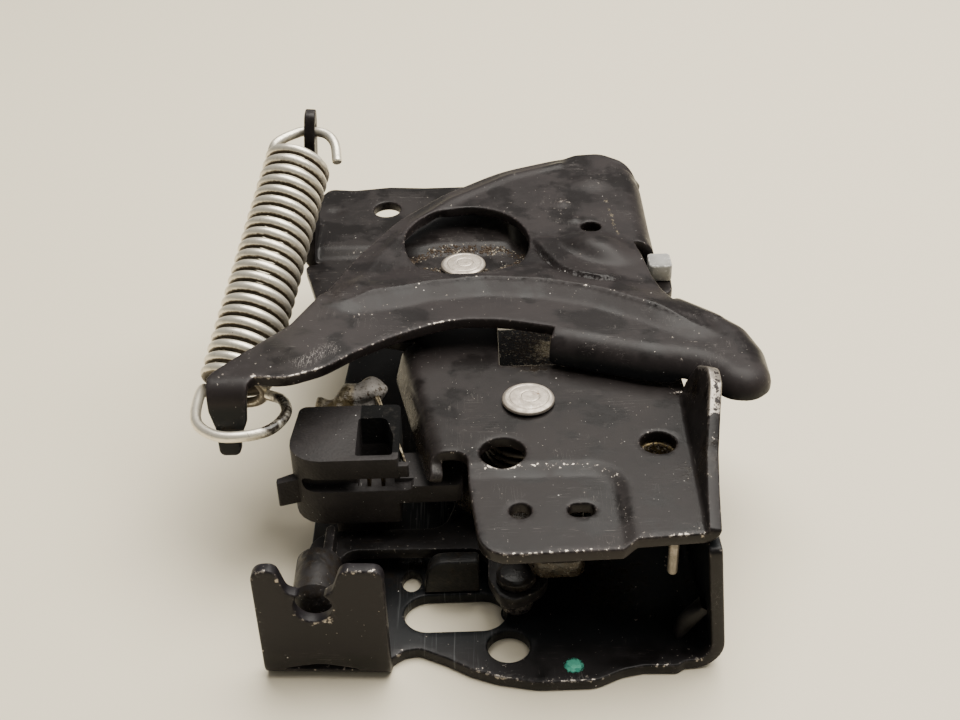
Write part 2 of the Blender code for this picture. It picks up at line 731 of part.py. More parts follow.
CLAW_RIM_R = 22.0
CLAW_LATCH_R = 19.0
CLAW_JAW_R = 36.0
CLAW_TAIL_R = 40.5
CLAW_SLOT_R = 5.6
CLAW_SLOT_AT = 24.0
CLAW_SLOT_ANGLE = 42.0


def polar(axis, radius, degrees):
    angle = math.radians(degrees)
    return (axis[0] + radius * math.cos(angle), axis[1] + radius * math.sin(angle))


def claw():
    """Catch plate: two jaws round the striker slot, a latching step on the rim and a tail."""
    corners = [(*polar(CLAW_AXIS, CLAW_JAW_R - 3, CLAW_SLOT_ANGLE + 31), 4),
               (*polar(CLAW_AXIS, CLAW_RIM_R, CLAW_SLOT_ANGLE + 54), 6)]
    corners += [polar(CLAW_AXIS, CLAW_LATCH_R, angle) for angle in (104, 112, 120, 127)]
    corners += [polar(CLAW_AXIS, CLAW_RIM_R, angle) for angle in range(130, 241, 10)]
    corners += [(*polar(CLAW_AXIS, CLAW_RIM_R, 252), 6), (*polar(CLAW_AXIS, CLAW_TAIL_R - 1.5, 270), 3),
                (*polar(CLAW_AXIS, CLAW_TAIL_R, 286), 3), (*polar(CLAW_AXIS, CLAW_RIM_R, 304), 10)]
    corners += [polar(CLAW_AXIS, CLAW_RIM_R, angle) for angle in (318, 328, 338)]
    corners += [(*polar(CLAW_AXIS, CLAW_JAW_R, CLAW_SLOT_ANGLE - 46), 8),
                (*polar(CLAW_AXIS, CLAW_JAW_R, CLAW_SLOT_ANGLE - 21), 3)]
    across = Vector(polar((0, 0), CLAW_SLOT_R, CLAW_SLOT_ANGLE - 90))
    seat = Vector(polar(CLAW_AXIS, CLAW_SLOT_AT, CLAW_SLOT_ANGLE))
    for step in range(7):
        turn = Matrix.Rotation(-math.pi * step / 6, 2)
        corners.append(tuple(seat + turn @ across))
    bore = circle(CLAW_AXIS, RIVET_BARREL_R + RUN_GAP, 32)
    plate = flat_plate(rounded(corners), CLAW_LOW, CLAW_HIGH, [bore])
    placed("claw", plate, ZINC, (*CLAW_AXIS, CLAW_LOW))


def pawl():
    """Arm from the rear rivet to the claw's rim, with a lug on its left side for its spring."""
    nose = polar(CLAW_AXIS, CLAW_RIM_R + RUN_GAP, 158)
    corners = [(PAWL_AXIS[0] + 9.5, PAWL_AXIS[1] - 2, 8), (PAWL_AXIS[0] + 8.5, PAWL_AXIS[1] + 9, 8),
               (PAWL_AXIS[0] - 8.5, PAWL_AXIS[1] + 9, 8), (PAWL_AXIS[0] - 11.5, PAWL_AXIS[1] - 6, 6),
               (nose[0] - 8.5, nose[1] + 16, 12), (nose[0] - 8.0, nose[1] - 1.5, 4),
               (nose[0] - 3.0, nose[1] - 5.0, 1.5), (nose[0] + 0.2, nose[1] + 0.4, 0.6),
               (nose[0] + 1.8, nose[1] + 9, 4)]
    bore = circle(PAWL_AXIS, RIVET_BARREL_R + RUN_GAP, 32)
    plate = flat_plate(rounded(corners), CLAW_LOW, CLAW_HIGH, [bore])
    placed("pawl", plate, FRAME_BLACK, (*PAWL_AXIS, CLAW_LOW))


CABLE_ARM_END = (-39.6, BASE_FRONT + 12.0)


def release_lever():
    """Lever on the base: one arm ends behind the cable bracket, the other has a tab that moves the pawl."""
    x, y = RELEASE_AXIS
    arm_x, arm_y = CABLE_ARM_END
    corners = [
        (x + 8.5, y - 2.0, 7), (x + 6.0, y + 9.0, 5), (2.5, -44.0, 8), (0.5, -8.0, 2), (-7.0, -8.0, 2),
        (-7.5, -38.0, 8), (-10.0, -46.5, 5), (arm_x - 3.4, -46.5, 7), (arm_x - 3.6, arm_y + 3, 3),
        (arm_x, arm_y, 3), (arm_x + 3.4, arm_y + 3, 3), (arm_x + 5.0, -53.5, 4), (0.5, -54.3, 4),
        (x - 6.6, y + 1.0, 5), (x - 3.0, y - 8.6, 6)]
    plate = flat_plate(rounded(corners), RELEASE_LOW, RELEASE_HIGH,
                       [circle(RELEASE_AXIS, RELEASE_BARREL_R + RUN_GAP, 24)])
    tab = flat_plate(rounded([(-5.2, -13.0, 1), (-2.4, -13.0, 1), (-2.4, -8.5, 1), (-5.2, -8.5, 1)], 2),
                     RELEASE_HIGH - 0.5, CLAW_HIGH - 1.5)
    rib = flat_plate(rounded([(arm_x + 0.8, arm_y + 4, 1), (arm_x + 3.0, arm_y + 5, 1),
                              (arm_x + 3.4, -50.0, 1), (arm_x + 1.2, -50.0, 1)], 2),
                     RELEASE_HIGH - 0.5, RELEASE_HIGH + 5.0)
    placed("release_lever", combined(plate, [tab, rib]), FRAME_BLACK, (*RELEASE_AXIS, RELEASE_LOW))


# Safety lever: one pressed sheet with a lightening hole, a crescent bead, a dome and turned-down edges

LEVER_HOLE = ((-2.6, 33.9), 17.6, 1.21)
LEVER_SMALL_HOLE = ((33.0, 41.0), 2.2)
RIM_BEND_R = 3.0
RIM_DEGREES = 84
RIM_LIP = 0.6
REAR_LIP = 2.2
HOOK_FOLD_Y = -36.0
HOOK_BEND_R = 2.0
HOOK_DEGREES = 80
RIM_LINE = [(19.6, -11.6), (30.0, -15.6), (43.0, -20.6), (51.8, -22.8), (58.4, -25.8), (61.2, -29.6),
            (62.2, -32.0), (63.6, -32.5), (64.8, -30.6), (65.2, -22.5), (63.2, -14.5), (58.6, -8.6),
            (51.0, -2.0)]
REAR_LINE = [(44.4, 32.0), (44.4, 46.0), (44.2, 60.0), (43.8, 72.0), (42.6, 79.0), (39.5, 86.5)]
LEVER_BULGE = ((33.0, 27.5), 13.5, 7.0, math.radians(-40))
BULGE_HIGH = 3.0
LEVER_BEAD = [(-34.5, -2.0), (-27.0, 2.5), (-14.0, 8.0), (2.0, 10.0), (18.0, 7.8), (32.0, 2.4),
              (45.0, -6.0), (56.0, -15.5)]
BEAD_HIGH = 2.6
REAR_LEFT_EDGE = [(-39.4, 6.0), (-32.6, 26.0), (-22.2, 50.0), (-10.6, 65.0), (8.0, 80.6), (27.4, 88.6)]


def rim_fold():
    """Front edge and dome, turned down as one flange."""
    return Fold(RIM_LINE, -1, RIM_BEND_R, RIM_DEGREES, False,
                lambda x, y: (x > 50.9 and y < 5) or (x > 19.2 and y < -2.2) or (x > 15.0 and y < -12.4))


def rear_fold():
    """Rear right edge, turned down, running out at the rear corner."""
    return Fold(REAR_LINE, -1, RIM_BEND_R, RIM_DEGREES, False,
                lambda x, y: y > 31.6 and x > 36, lambda place: 1.0 - smooth(0.66, 1.0, place))


def hook_fold():
    """Tab at the lever's left end, bent down and a little forward through the spring's loop."""
    line = [(-65.6, HOOK_FOLD_Y), (-53.6, HOOK_FOLD_Y)]
    return Fold(line, -1, HOOK_BEND_R, HOOK_DEGREES, False, lambda x, y: x < -53.5)


def on_hook(x, height, *radius):
    """A point of the hook tab's outer face, at an X and height, laid out flat."""
    turn = math.radians(HOOK_DEGREES)
    foot = LEVER_TOP + LEVER_ARM_RISE - (HOOK_BEND_R + SHEET) * (1 - math.cos(turn))
    return (x, HOOK_FOLD_Y - hook_fold().length() - (foot - height) / math.sin(turn), *radius)


def lever_outline():
    left = [(-64.9, HOOK_FOLD_Y), (-64.0, -33.6, 2), (-57.6, -25.4, 4), (-47.6, -13.6, 14)]
    rear = [(*p, 50) for p in REAR_LEFT_EDGE] + [(38.0, 89.8, 6)]
    flange = [(*p, 2) for p in reversed(line_beside(REAR_LINE[:-1], -1, rear_fold().length() + REAR_LIP))]
    side = [(44.3, 31.7), (45.6, 24.0, 3), (47.0, 12.0, 8), (49.2, 3.0, 3), (50.7, -1.7)]
    rim = [(*p, 1.5) for p in reversed(line_beside(RIM_LINE, -1, rim_fold().length() + RIM_LIP))]
    arch = [(19.2, -11.9), (18.4, -11.5, 0.6), (5.5, -7.4, 40), (-7.4, -6.8, 40), (-20.0, -13.2, 40),
            (-29.7, -22.6, 30), (-37.5, -32.0, 20), (-46.0, -37.2, 14), (-53.6, HOOK_FOLD_Y),
            (-55.2, HOOK_FOLD_Y - 2, 1.5), on_hook(-56.0, 41.0, 3), on_hook(-57.6, 37.5, 3),
            on_hook(-58.0, 33.0, 1.5), on_hook(-63.0, 33.0, 1.5), on_hook(-63.3, 40.0, 3),
            on_hook(-64.6, 44.5)]
    return rounded(left + rear + flange + side + rim + arch, 3)


def lever_top(x, y):
    height = LEVER_TOP + LEVER_ARM_RISE * smooth(-14.0, -48.0, x)
    gap, place, _, side = beside((x, y), LEVER_BEAD)
    ends = smooth(0.0, 0.16, place) * smooth(1.0, 0.86, place)
    end_gap = gap if place in (0.0, 1.0) else 0.0
    shape = 1 - smooth(0.0, 5.2, gap) ** 0.8 if side < 0 else 1 - smooth(0.0, 13.0, gap)
    height += BEAD_HIGH * (0.35 + 0.65 * ends) * shape * (1 - smooth(0, 6, end_gap))
    (cx, cy), long_r, short_r, turn = LEVER_BULGE
    along_it = (x - cx) * math.cos(turn) + (y - cy) * math.sin(turn)
    across_it = -(x - cx) * math.sin(turn) + (y - cy) * math.cos(turn)
    width = short_r if across_it < 0 else short_r * 1.5
    height += BULGE_HIGH * (1 - smooth(0.15, 1.0, math.hypot(along_it / long_r, across_it / width)))
    edge_gap = beside((x, y), REAR_LEFT_EDGE)[0]
    return height - (1 - smooth(0.0, 5.5, edge_gap))


def lever_points(folds):
    points = []
    for fold in folds:
        offsets = [fold.length() * i / 4 for i in range(5)]
        points += rows_beside(fold.line, fold.side, offsets, 5.2)
    for side, offsets in ((-1, (0.0, 1.8, 3.6, 5.6)), (1, (3.6, 8.0, 13.0))):
        points += rows_beside(LEVER_BEAD, side, offsets, 6.4)
    points += rows_beside(REAR_LINE[2:], 1, (0.6, 4.0), 5.0)
    points += rows_beside(REAR_LEFT_EDGE, -1, (2.4, 5.4), 6.0)
    (cx, cy), long_r, short_r, turn = LEVER_BULGE
    for share in (0.0, 0.35, 0.7, 1.0):
        for x, y in circle((0, 0), long_r * share, 14, short_r / long_r) if share else [(0, 0)]:
            points.append(tuple(Vector((cx, cy)) + Matrix.Rotation(turn, 2) @ Vector((x, y))))
    pitch = 8.4
    for row in range(16):
        for column in range(17):
            points.append((-64.0 + pitch * (column + 0.5 * (row % 2)), -38.0 + row * pitch))
    return points


def safety_lever():
    outline = divided(lever_outline(), 5.0)
    (centre, radius, stretch) = LEVER_HOLE
    holes = [circle(centre, radius, 40, stretch), circle(*LEVER_SMALL_HOLE, 12)]
    folds = [rim_fold(), rear_fold(), hook_fold()]
    points = spread(lever_points(folds), outline, holes, 0.7, 1.25)
    plate = pressed(outline, holes, lever_top, folds, points, 1.0)
    placed("safety_lever", plate, FRAME_BLACK, (*LEVER_AXIS, DECK_TOP))


def lever_stud():
    """Shouldered stud under the lever, turning in the deck, with a riveted washer below."""
    top = lever_top(*LEVER_AXIS) - SHEET - SEAT_GAP
    deck = deck_top(*LEVER_AXIS)
    under = deck - SHEET
    profile = [(0, under - 4.0), (STUD_TAIL_R, under - 4.0), (STUD_TAIL_R, under - RUN_GAP),
               (STUD_SHANK_R, under - RUN_GAP), (STUD_SHANK_R, deck + SEAT_GAP),
               (STUD_HEAD_R, deck + SEAT_GAP), (STUD_HEAD_R, top), (0, top)]
    placed("lever_stud", revolved(profile, LEVER_AXIS, 28), ZINC, (*LEVER_AXIS, DECK_TOP))
    inner = STUD_TAIL_R + SEAT_GAP
    high = under - RUN_GAP - 0.1
    ring = [(inner, under - 2.6), (9.0, under - 2.6), (9.0, high), (inner, high)]
    placed("lever_washer", revolved(ring, LEVER_AXIS, 28), ZINC, (*LEVER_AXIS, DECK_TOP))


def stop_buffer():
    """Moulded buffer on the deck that the lever's turned-down side rests against."""
    x, y = BUFFER_AT
    seat = deck_top(x, y) + SEAT_GAP
    block = flat_plate(rounded([(x - 3.2, y - 3.6, 1.2), (x + 3.2, y - 3.6, 1.2),
                                (x + 3.2, y + 3.8, 1.2), (x - 3.2, y + 3.8, 1.2)]), seat, seat + 5.0)
    foot = seat - SHEET - 0.4
    profile = [(0, foot), (BUFFER_PEG_R, foot), (BUFFER_PEG_R, seat + 1), (0, seat + 1)]
    peg = revolved(profile, BUFFER_AT, 12)
    placed("stop_buffer", combined(block, [peg]), GREY_PLASTIC)


# Springs

def spring_frame():
    line = (SPRING_HIGH - SPRING_LOW).normalized()
    right = line.cross(Vector((0, 0, 1))).normalized()
    up = right.cross(line).normalized()
    return line, right, up


def tension_spring(per_turn=9):
    """Front loop round the lever's tab, the coils, and the open rear hook through the anchor tab."""
    line, right, up = spring_frame()
    length = (SPRING_HIGH - SPRING_LOW).length
    total = COIL_TURNS * per_turn
    coil = []
    for step in range(total + 1):
        angle = math.pi + 2 * math.pi * step / per_turn
        middle = SPRING_LOW + line * (length * step / total)
        coil.append(middle + right * (COIL_R * math.cos(angle)) + up * (COIL_R * math.sin(angle)))
    low = HOOK_LOOP_Z
    loop = curve_through([(-53.0, -26.0, low - 1.6), (-48.8, -30.0, low - 0.6), (-47.2, -36.5, low),
                          (-50.2, -42.6, low), (-56.0, -44.9, low), (-62.2, -44.7, low),
                          (-67.6, -40.6, low), (-69.6, -34.0, low - 0.3), coil[0], coil[1]], 4)
    hole_y, hole_z = ANCHOR_HOLE
    lean = math.radians(TAB_LEAN - 90)
    above_bend = hole_z - DECK_TOP - REAR_RISE - TAB_BEND_R
    tab_x = TAB_FOLD_X - TAB_BEND_R - SHEET / 2 + math.sin(lean) * above_bend
    rear = curve_through([coil[-2], coil[-1], (-54.6, 41.5, 75.2), (tab_x - 3.6, hole_y - 0.8, hole_z),
                          (tab_x, hole_y, hole_z), (tab_x + 4.4, hole_y - 1.5, hole_z - 0.2),
                          (-38.4, 42.0, 74.6), (-37.6, 37.0, 71.2)], 4)
    wire = tube([*loop[:-5], *coil[:-1], *rear[5:]], WIRE_R)
    placed("tension_spring", wire, SPRING_STEEL)


def torsion_spring(name, axis, start, stop, radius, turns=3, per_turn=12):
    """Wire coil round a spacer, with two straight legs."""
    low = CLAW_HIGH + 1.6
    pitch = 2.3
    coil = []
    total = turns * per_turn
    sweep = turns * 2 * math.pi + stop - start
    for step in range(total + 1):
        angle = start + sweep * step / total
        coil.append((axis[0] + radius * math.cos(angle), axis[1] + radius * math.sin(angle),
                     low + pitch * turns * step / total))
    first = Vector(coil[0])
    last = Vector(coil[-1])
    leg_in = first + Vector((math.sin(start), -math.cos(start), 0)) * 9.0
    leg_out = last + Vector((-math.sin(stop), math.cos(stop), 0)) * 9.0
    placed(name, tube([leg_in, *coil, leg_out], 0.8), SPRING_STEEL)


# Switch housing, its plunger and contacts, and the guide block

HOUSING_LOW = 16.5
HOUSING_HIGH = DECK_TOP - 2.3
HOUSING_LEFT = -47.0
HOUSING_RIGHT = -20.0
HOUSING_FRONT = -50.0
HOUSING_REAR = -28.0
POCKET_LOW = 24.0
PLUNGER_AT = (-7.6, -41.5)
PLUNGER_R = 1.7
PLUNGER_TRAVEL = 1.0
PLUNGER_TOP = DECK_UNDER - 8.6


def switch_housing():
    body = flat_plate(rounded([(HOUSING_LEFT, HOUSING_FRONT, 8), (HOUSING_RIGHT, HOUSING_FRONT, 0.8),
                               (HOUSING_RIGHT, HOUSING_REAR, 1.5), (HOUSING_LEFT + 2, HOUSING_REAR, 2)], 6),
                      HOUSING_LOW, HOUSING_HIGH)
    inner = HOUSING_RIGHT - 1
    shelf = flat_plate(rounded([(inner, HOUSING_FRONT), (-5.0, HOUSING_FRONT, 2), (-5.0, -37.0, 2),
                                (inner, -37.0)]), CLAW_HIGH + 1.4, PLUNGER_TOP + 1.0)
    foot = flat_plate(rounded([(-37.0, -43.5, 2), (-25.0, -43.5, 2), (-25.0, -31.0, 2), (-37.0, -31.0, 2)]),
                      SHEET + SEAT_GAP, HOUSING_LOW + 1)
    lip = flat_plate(rounded([(HOUSING_LEFT - 2.6, -48.4, 0.5), (HOUSING_LEFT + 4, -46.4),
                              (HOUSING_LEFT + 4, -43.0), (HOUSING_LEFT - 2.6, -46.4, 0.5)]), 21.0, 28.0)
    nub = flat_plate(rounded([(inner, HOUSING_FRONT + 0.3), (-17.6, HOUSING_FRONT + 0.3, 0.7),
                              (-17.6, -48.0, 0.7), (inner, -48.0)]), DECK_UNDER - 8, DECK_UNDER - 1.6)
    groove = obround((-30.0, 28.2), 27.0, 3.8, 6)
    slot = along(flat_plate(groove, HOUSING_FRONT - 2, HOUSING_FRONT + 3.2), "Y")
    edge = HOUSING_RIGHT - 1.4
    pocket = flat_plate(rounded([(-30.2, -48.2, 0.8), (edge, -48.2, 0.8), (edge, -40.6, 2),
                                 (-23.4, -33.4, 2), (-30.2, -33.4, 0.8)]), POCKET_LOW, HOUSING_HIGH + 2)
    bore = revolved([(0, CLAW_HIGH), (PLUNGER_R + RUN_GAP, CLAW_HIGH), (PLUNGER_R + RUN_GAP, PLUNGER_TOP),
                     (0, PLUNGER_TOP)], PLUNGER_AT, 16)
    placed("switch_housing", combined(body, [shelf, foot, lip, nub], [slot, pocket, bore]), PLASTIC_BLACK)


def switch_plunger():
    low = CLAW_HIGH + SEAT_GAP
    high = PLUNGER_TOP - PLUNGER_TRAVEL - SEAT_GAP
    profile = [(0, low), (PLUNGER_R * 0.6, low + 0.05), (PLUNGER_R, low + 0.6),
               (PLUNGER_R, high), (0, high)]
    placed("switch_plunger", revolved(profile, PLUNGER_AT, 16), GREY_PLASTIC, (*PLUNGER_AT, low))


def contact_blades():
    for index, x in enumerate((-28.0, -24.6)):
        blade = along(flat_plate(rounded([(-46.6, POCKET_LOW + SEAT_GAP), (-43.4, POCKET_LOW + SEAT_GAP),
                                          (-43.4, POCKET_LOW + 7, 0.8), (-46.6, POCKET_LOW + 7, 0.8)], 2),
                                 x, x + 0.8), "X")
        placed(f"contact_blade_{index + 1}", blade, BRASS)


def guide_block():
    """Black moulded block behind the base slot, with a rounded top corner."""
    block = along(flat_plate(rounded([(-15.2, SHEET + SEAT_GAP), (-1.6, SHEET + SEAT_GAP), (-1.6, 13.0, 1),
                                      (-13.4, 13.0, 4)]), -61.3, -57.4), "Y")
    placed("guide_block", block, PLASTIC_BLACK)


def build():
    clear_scene()
    base_frame()
    main_plate()
    stepped_rivet("claw_rivet", CLAW_AXIS)
    stepped_rivet("pawl_rivet", PAWL_AXIS)
    release_rivet()
    for piece, axis in (("claw", CLAW_AXIS), ("pawl", PAWL_AXIS)):
        spacer(f"{piece}_spacer_lower", axis, SHEET + SEAT_GAP, CLAW_LOW - RUN_GAP)
        spacer(f"{piece}_spacer_upper", axis, CLAW_HIGH + RUN_GAP, DECK_UNDER - SEAT_GAP)
    claw()
    pawl()
    release_lever()
    safety_lever()
    lever_stud()
    stop_buffer()
    tension_spring()
    coil_r = RIVET_BARREL_R + RUN_GAP + SPACER_WALL + 1.2
    torsion_spring("claw_spring", CLAW_AXIS, math.radians(-100), math.radians(-40), coil_r)
    torsion_spring("pawl_spring", PAWL_AXIS, math.radians(60), math.radians(150), coil_r)
    threaded_bush()
    stop_pin()
    switch_housing()
    switch_plunger()
    contact_blades()
    guide_block()


build()
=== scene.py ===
"""Look of the bonnet latch: camera, floor, light, procedural materials and fine pieces."""
import math
import random

import bmesh
import bpy
import numpy as np
from mathutils import Matrix, Vector
from mathutils.geometry import delaunay_2d_cdt

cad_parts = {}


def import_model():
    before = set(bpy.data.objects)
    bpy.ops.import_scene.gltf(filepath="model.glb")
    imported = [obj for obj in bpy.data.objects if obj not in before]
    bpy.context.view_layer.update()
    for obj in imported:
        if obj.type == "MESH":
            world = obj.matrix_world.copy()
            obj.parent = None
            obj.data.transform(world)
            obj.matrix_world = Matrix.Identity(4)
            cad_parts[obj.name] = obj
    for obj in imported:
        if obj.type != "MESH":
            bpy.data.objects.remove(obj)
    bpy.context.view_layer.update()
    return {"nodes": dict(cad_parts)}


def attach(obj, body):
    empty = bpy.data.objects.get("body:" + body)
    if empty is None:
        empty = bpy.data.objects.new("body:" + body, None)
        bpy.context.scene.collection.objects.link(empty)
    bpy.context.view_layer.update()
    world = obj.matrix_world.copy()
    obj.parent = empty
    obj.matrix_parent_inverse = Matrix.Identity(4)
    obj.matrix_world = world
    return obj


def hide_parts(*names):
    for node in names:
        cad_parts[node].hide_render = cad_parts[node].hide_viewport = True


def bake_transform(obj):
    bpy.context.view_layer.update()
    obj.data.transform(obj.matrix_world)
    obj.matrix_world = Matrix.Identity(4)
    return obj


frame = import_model()

# Sizes are in millimetres in the frame the part was drawn in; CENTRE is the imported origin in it

MM = 0.001
CENTRE = (0.04, -0.31)
SHEET = 3.0
FILLET = 0.5
DECK_TOP = 38.0
DECK_UNDER = DECK_TOP - SHEET
BASE_FRONT = -84.0
SEAT_GAP = 0.3
ARC_STEP = 0.7
FAR = 1e9
MOUTH_LOW, MOUTH_HIGH, MOUTH_END = -15.5, 11.0, 5.0
CLAW_AXIS = (11.5, -31.8)
PAWL_AXIS = (-4.0, 35.0)
RELEASE_AXIS = (7.0, BASE_FRONT + 18.5)
LEVER_AXIS = (24.0, 50.0)


def world(point):
    return Vector((point[0] - CENTRE[0], point[1] - CENTRE[1], point[2])) * MM


def model_points(data):
    """A mesh's points back in millimetres in the drawing's frame."""
    flat = np.empty(len(data.vertices) * 3, np.float32)
    data.vertices.foreach_get("co", flat)
    return flat.reshape(-1, 3) / MM + np.array([CENTRE[0], CENTRE[1], 0.0])


# Outlines

def rounded(corners, spacing=ARC_STEP):
    """A closed outline from corners (x, y) or (x, y, radius), with short steps round the radii."""
    points = []
    count = len(corners)
    for index, corner in enumerate(corners):
        here = Vector(corner[:2])
        radius = corner[2] if len(corner) > 2 else 0.0
        back = Vector(corners[index - 1][:2]) - here
        ahead = Vector(corners[(index + 1) % count][:2]) - here
        angle = back.angle(ahead, 0.0)
        if radius <= 0.0 or angle < 0.02 or angle > math.pi - 0.02:
            points.append(tuple(here))
            continue
        reach = min(radius / math.tan(angle / 2), 0.48 * back.length, 0.48 * ahead.length)
        radius = reach * math.tan(angle / 2)
        inward = (back.normalized() + ahead.normalized()).normalized()
        middle = here + inward * (radius / math.sin(angle / 2))
        first = here + back.normalized() * reach - middle
        last = here + ahead.normalized() * reach - middle
        sweep = first.angle_signed(last, 0.0)
        steps = max(3, math.ceil(abs(sweep) * radius / spacing))
        for step in range(steps + 1):
            points.append(tuple(middle + Matrix.Rotation(-sweep * step / steps, 2) @ first))
    return points


def circle(centre, radius, stretch=1.0):
    count = max(12, math.ceil(2 * math.pi * radius / ARC_STEP))
    turns = [2 * math.pi * i / count for i in range(count)]
    return [(centre[0] + radius * math.cos(a), centre[1] + radius * stretch * math.sin(a)) for a in turns]


def obround(centre, length, width):
    half = (length - width) / 2
    points = []
    steps = max(6, math.ceil(math.pi * width / 2 / ARC_STEP))
    for side in (1, -1):
        for step in range(steps + 1):
            angle = -math.pi / 2 + math.pi * step / steps
            points.append((centre[0] + side * (half + width / 2 * math.cos(angle)),
                           centre[1] + side * width / 2 * math.sin(angle)))
    return points


def divided(loop, spacing):
    points = []
    for index, start in enumerate(loop):
        start = Vector(start)
        side = Vector(loop[(index + 1) % len(loop)]) - start
        if side.length < 1e-4:
            continue
        parts = max(1, math.ceil(side.length / spacing))
        points += [tuple(start + side * part / parts) for part in range(parts)]
    return points


def inside(x, y, loop):
    hit = np.zeros(x.shape, bool)
    for index in range(len(loop)):
        x1, y1 = loop[index - 1]
        x2, y2 = loop[index]
        if y1 != y2:
            hit ^= ((y1 > y) != (y2 > y)) & (x < (x2 - x1) * (y - y1) / (y2 - y1) + x1)
    return hit


def on_sheet(points, loops):
    """Whether points are inside the first loop and outside the others."""
    hit = inside(*points.T, loops[0])
    for hole in loops[1:]:
        hit &= ~inside(*points.T, hole)
    return hit


def beside(x, y, line):
    """Distance to an open line, place along it from 0 to 1, nearest point on it, and side (1 is left)."""
    gap = np.full(x.shape, FAR)
    place, side, foot_x, foot_y = (np.zeros(x.shape) for _ in range(4))
    total = len(line) - 1
    for index in range(total):
        (ax, ay), (bx, by) = line[index], line[index + 1]
        dx, dy = bx - ax, by - ay
        share = np.clip(((x - ax) * dx + (y - ay) * dy) / (dx * dx + dy * dy), 0, 1)
        gx, gy = ax + share * dx, ay + share * dy
        new_gap = np.hypot(x - gx, y - gy)
        nearer = new_gap < gap
        gap = np.where(nearer, new_gap, gap)
        place = np.where(nearer, (index + share) / total, place)
        foot_x = np.where(nearer, gx, foot_x)
        foot_y = np.where(nearer, gy, foot_y)
        side = np.where(nearer, np.sign(dx * (y - ay) - dy * (x - ax)), side)
    return gap, place, foot_x, foot_y, side


def smooth(low, high, value):
    share = np.clip((value - low) / (high - low), 0, 1)
    return share * share * (3 - 2 * share)


def loop_normals(loop):
    """Unit vectors to the left of a loop's path."""
    points = np.array(loop)
    ahead = np.roll(points, -1, 0) - points
    ahead /= np.maximum(np.linalg.norm(ahead, axis=1, keepdims=True), 1e-9)
    left = np.stack([-ahead[:, 1], ahead[:, 0]], 1)
    both = left + np.roll(left, 1, 0)
    return both / np.maximum(np.linalg.norm(both, axis=1, keepdims=True), 1e-6)


def signed_area(loop):
    p = np.array(loop)
    q = np.roll(p, -1, 0)
    return 0.5 * float(np.sum(p[:, 0] * q[:, 1] - q[:, 0] * p[:, 1]))


def rows_beside(line, side, offsets, pitch=1.4):
    """Points in rows beside an open line, at the given distances."""
    points = []
    for (ax, ay), (bx, by) in zip(line, line[1:]):
        start, end = Vector((ax, ay)), Vector((bx, by))
        run = end - start
        square = Vector((-run.y, run.x)).normalized() * side
        parts = max(1, round(run.length / pitch))
        for offset in offsets:
            points += [tuple(start + run * (i + 0.5) / parts + square * offset) for i in range(parts)]
    return points


def bend_rows(pitch, count):
    """Distances from a fold line for rows of points across its bend."""
    return [0.1 + pitch * i for i in range(count)]


def line_beside(line, side, distance, fan=5):
    """An open line at a distance from another, with its outer corners fanned out."""
    points = []
    for index, corner in enumerate(line):
        squares = []
        for a, b in ((index - 1, index), (index, index + 1)):
            if 0 <= a and b < len(line):
                run = Vector(line[b]) - Vector(line[a])
                squares.append(Vector((-run.y, run.x)).normalized() * side)
        turn = squares[0].angle_signed(squares[-1], 0.0)
        if turn * side > 0.12:
            spokes = [Matrix.Rotation(-turn * i / fan, 2) @ squares[0] for i in range(fan + 1)]
        else:
            spokes = [(squares[0] + squares[-1]).normalized() / math.cos(turn / 2)]
        points += [tuple(Vector(corner) + spoke * distance) for spoke in spokes]
    return points


# Meshes

def linked(name, data):
    item = bpy.data.objects.new(name, data)
    bpy.context.scene.collection.objects.link(item)
    return item


def store_marks(data, marks):
    """Stores a value per point for each mark that the piece's material reads."""
    for key, values in marks.items():
        layer = data.attributes.new(key, "FLOAT", "POINT")
        layer.data.foreach_set("value", np.asarray(values, np.float32))


def mesh_object(name, points, faces, marks, sharp=None):
    """An object from points in millimetres, with its marks."""
    data = bpy.data.meshes.new(name)
    data.from_pydata([tuple(world(c)) for c in points], [], faces)
    data.validate()
    store_marks(data, marks)
    mesh = bmesh.new()
    mesh.from_mesh(data)
    bmesh.ops.recalc_face_normals(mesh, faces=mesh.faces[:])
    if mesh.calc_volume(signed=True) < 0:
        bmesh.ops.reverse_faces(mesh, faces=mesh.faces[:])
    mesh.to_mesh(data)
    mesh.free()
    data.shade_smooth()
    if sharp is not None:
        data.set_sharp_from_angle(angle=math.radians(sharp))
    return linked(name, data)


def ring_faces(rows, sides):
    """Faces between rows of points round a closed section, with a cap at each end."""
    faces = []
    for row in range(rows - 1):
        for side in range(sides):
            a, b = row * sides + side, row * sides + (side + 1) % sides
            faces.append((a, b, b + sides, a + sides))
    return [*faces, tuple(range(sides)), tuple(range((rows - 1) * sides, rows * sides))]


class Cloud:
    """Points by their coordinates, for the functions that place marks."""

    def __init__(self, points):
        self.x, self.y, self.z = points.T


def cloud_of(points):
    return Cloud(np.array([tuple(p) for p in points]))


def even(**values):
    """The same marks all over a piece."""
    return lambda cloud: {key: np.full(len(cloud.x), value) for key, value in values.items()}


RIM_RINGS = [(FILLET * (1 - math.sin(math.radians(d))), FILLET * (1 - math.cos(math.radians(d))))
             for d in (0, 30, 60, 90)]
RIM_WEAR_AND_SHEEN = (0.55, 1.0, 1.0, 0.5)
EDGE_STEP = 1.1
EDGE_CLEAR = 0.5
ROW_SHARE = 0.866


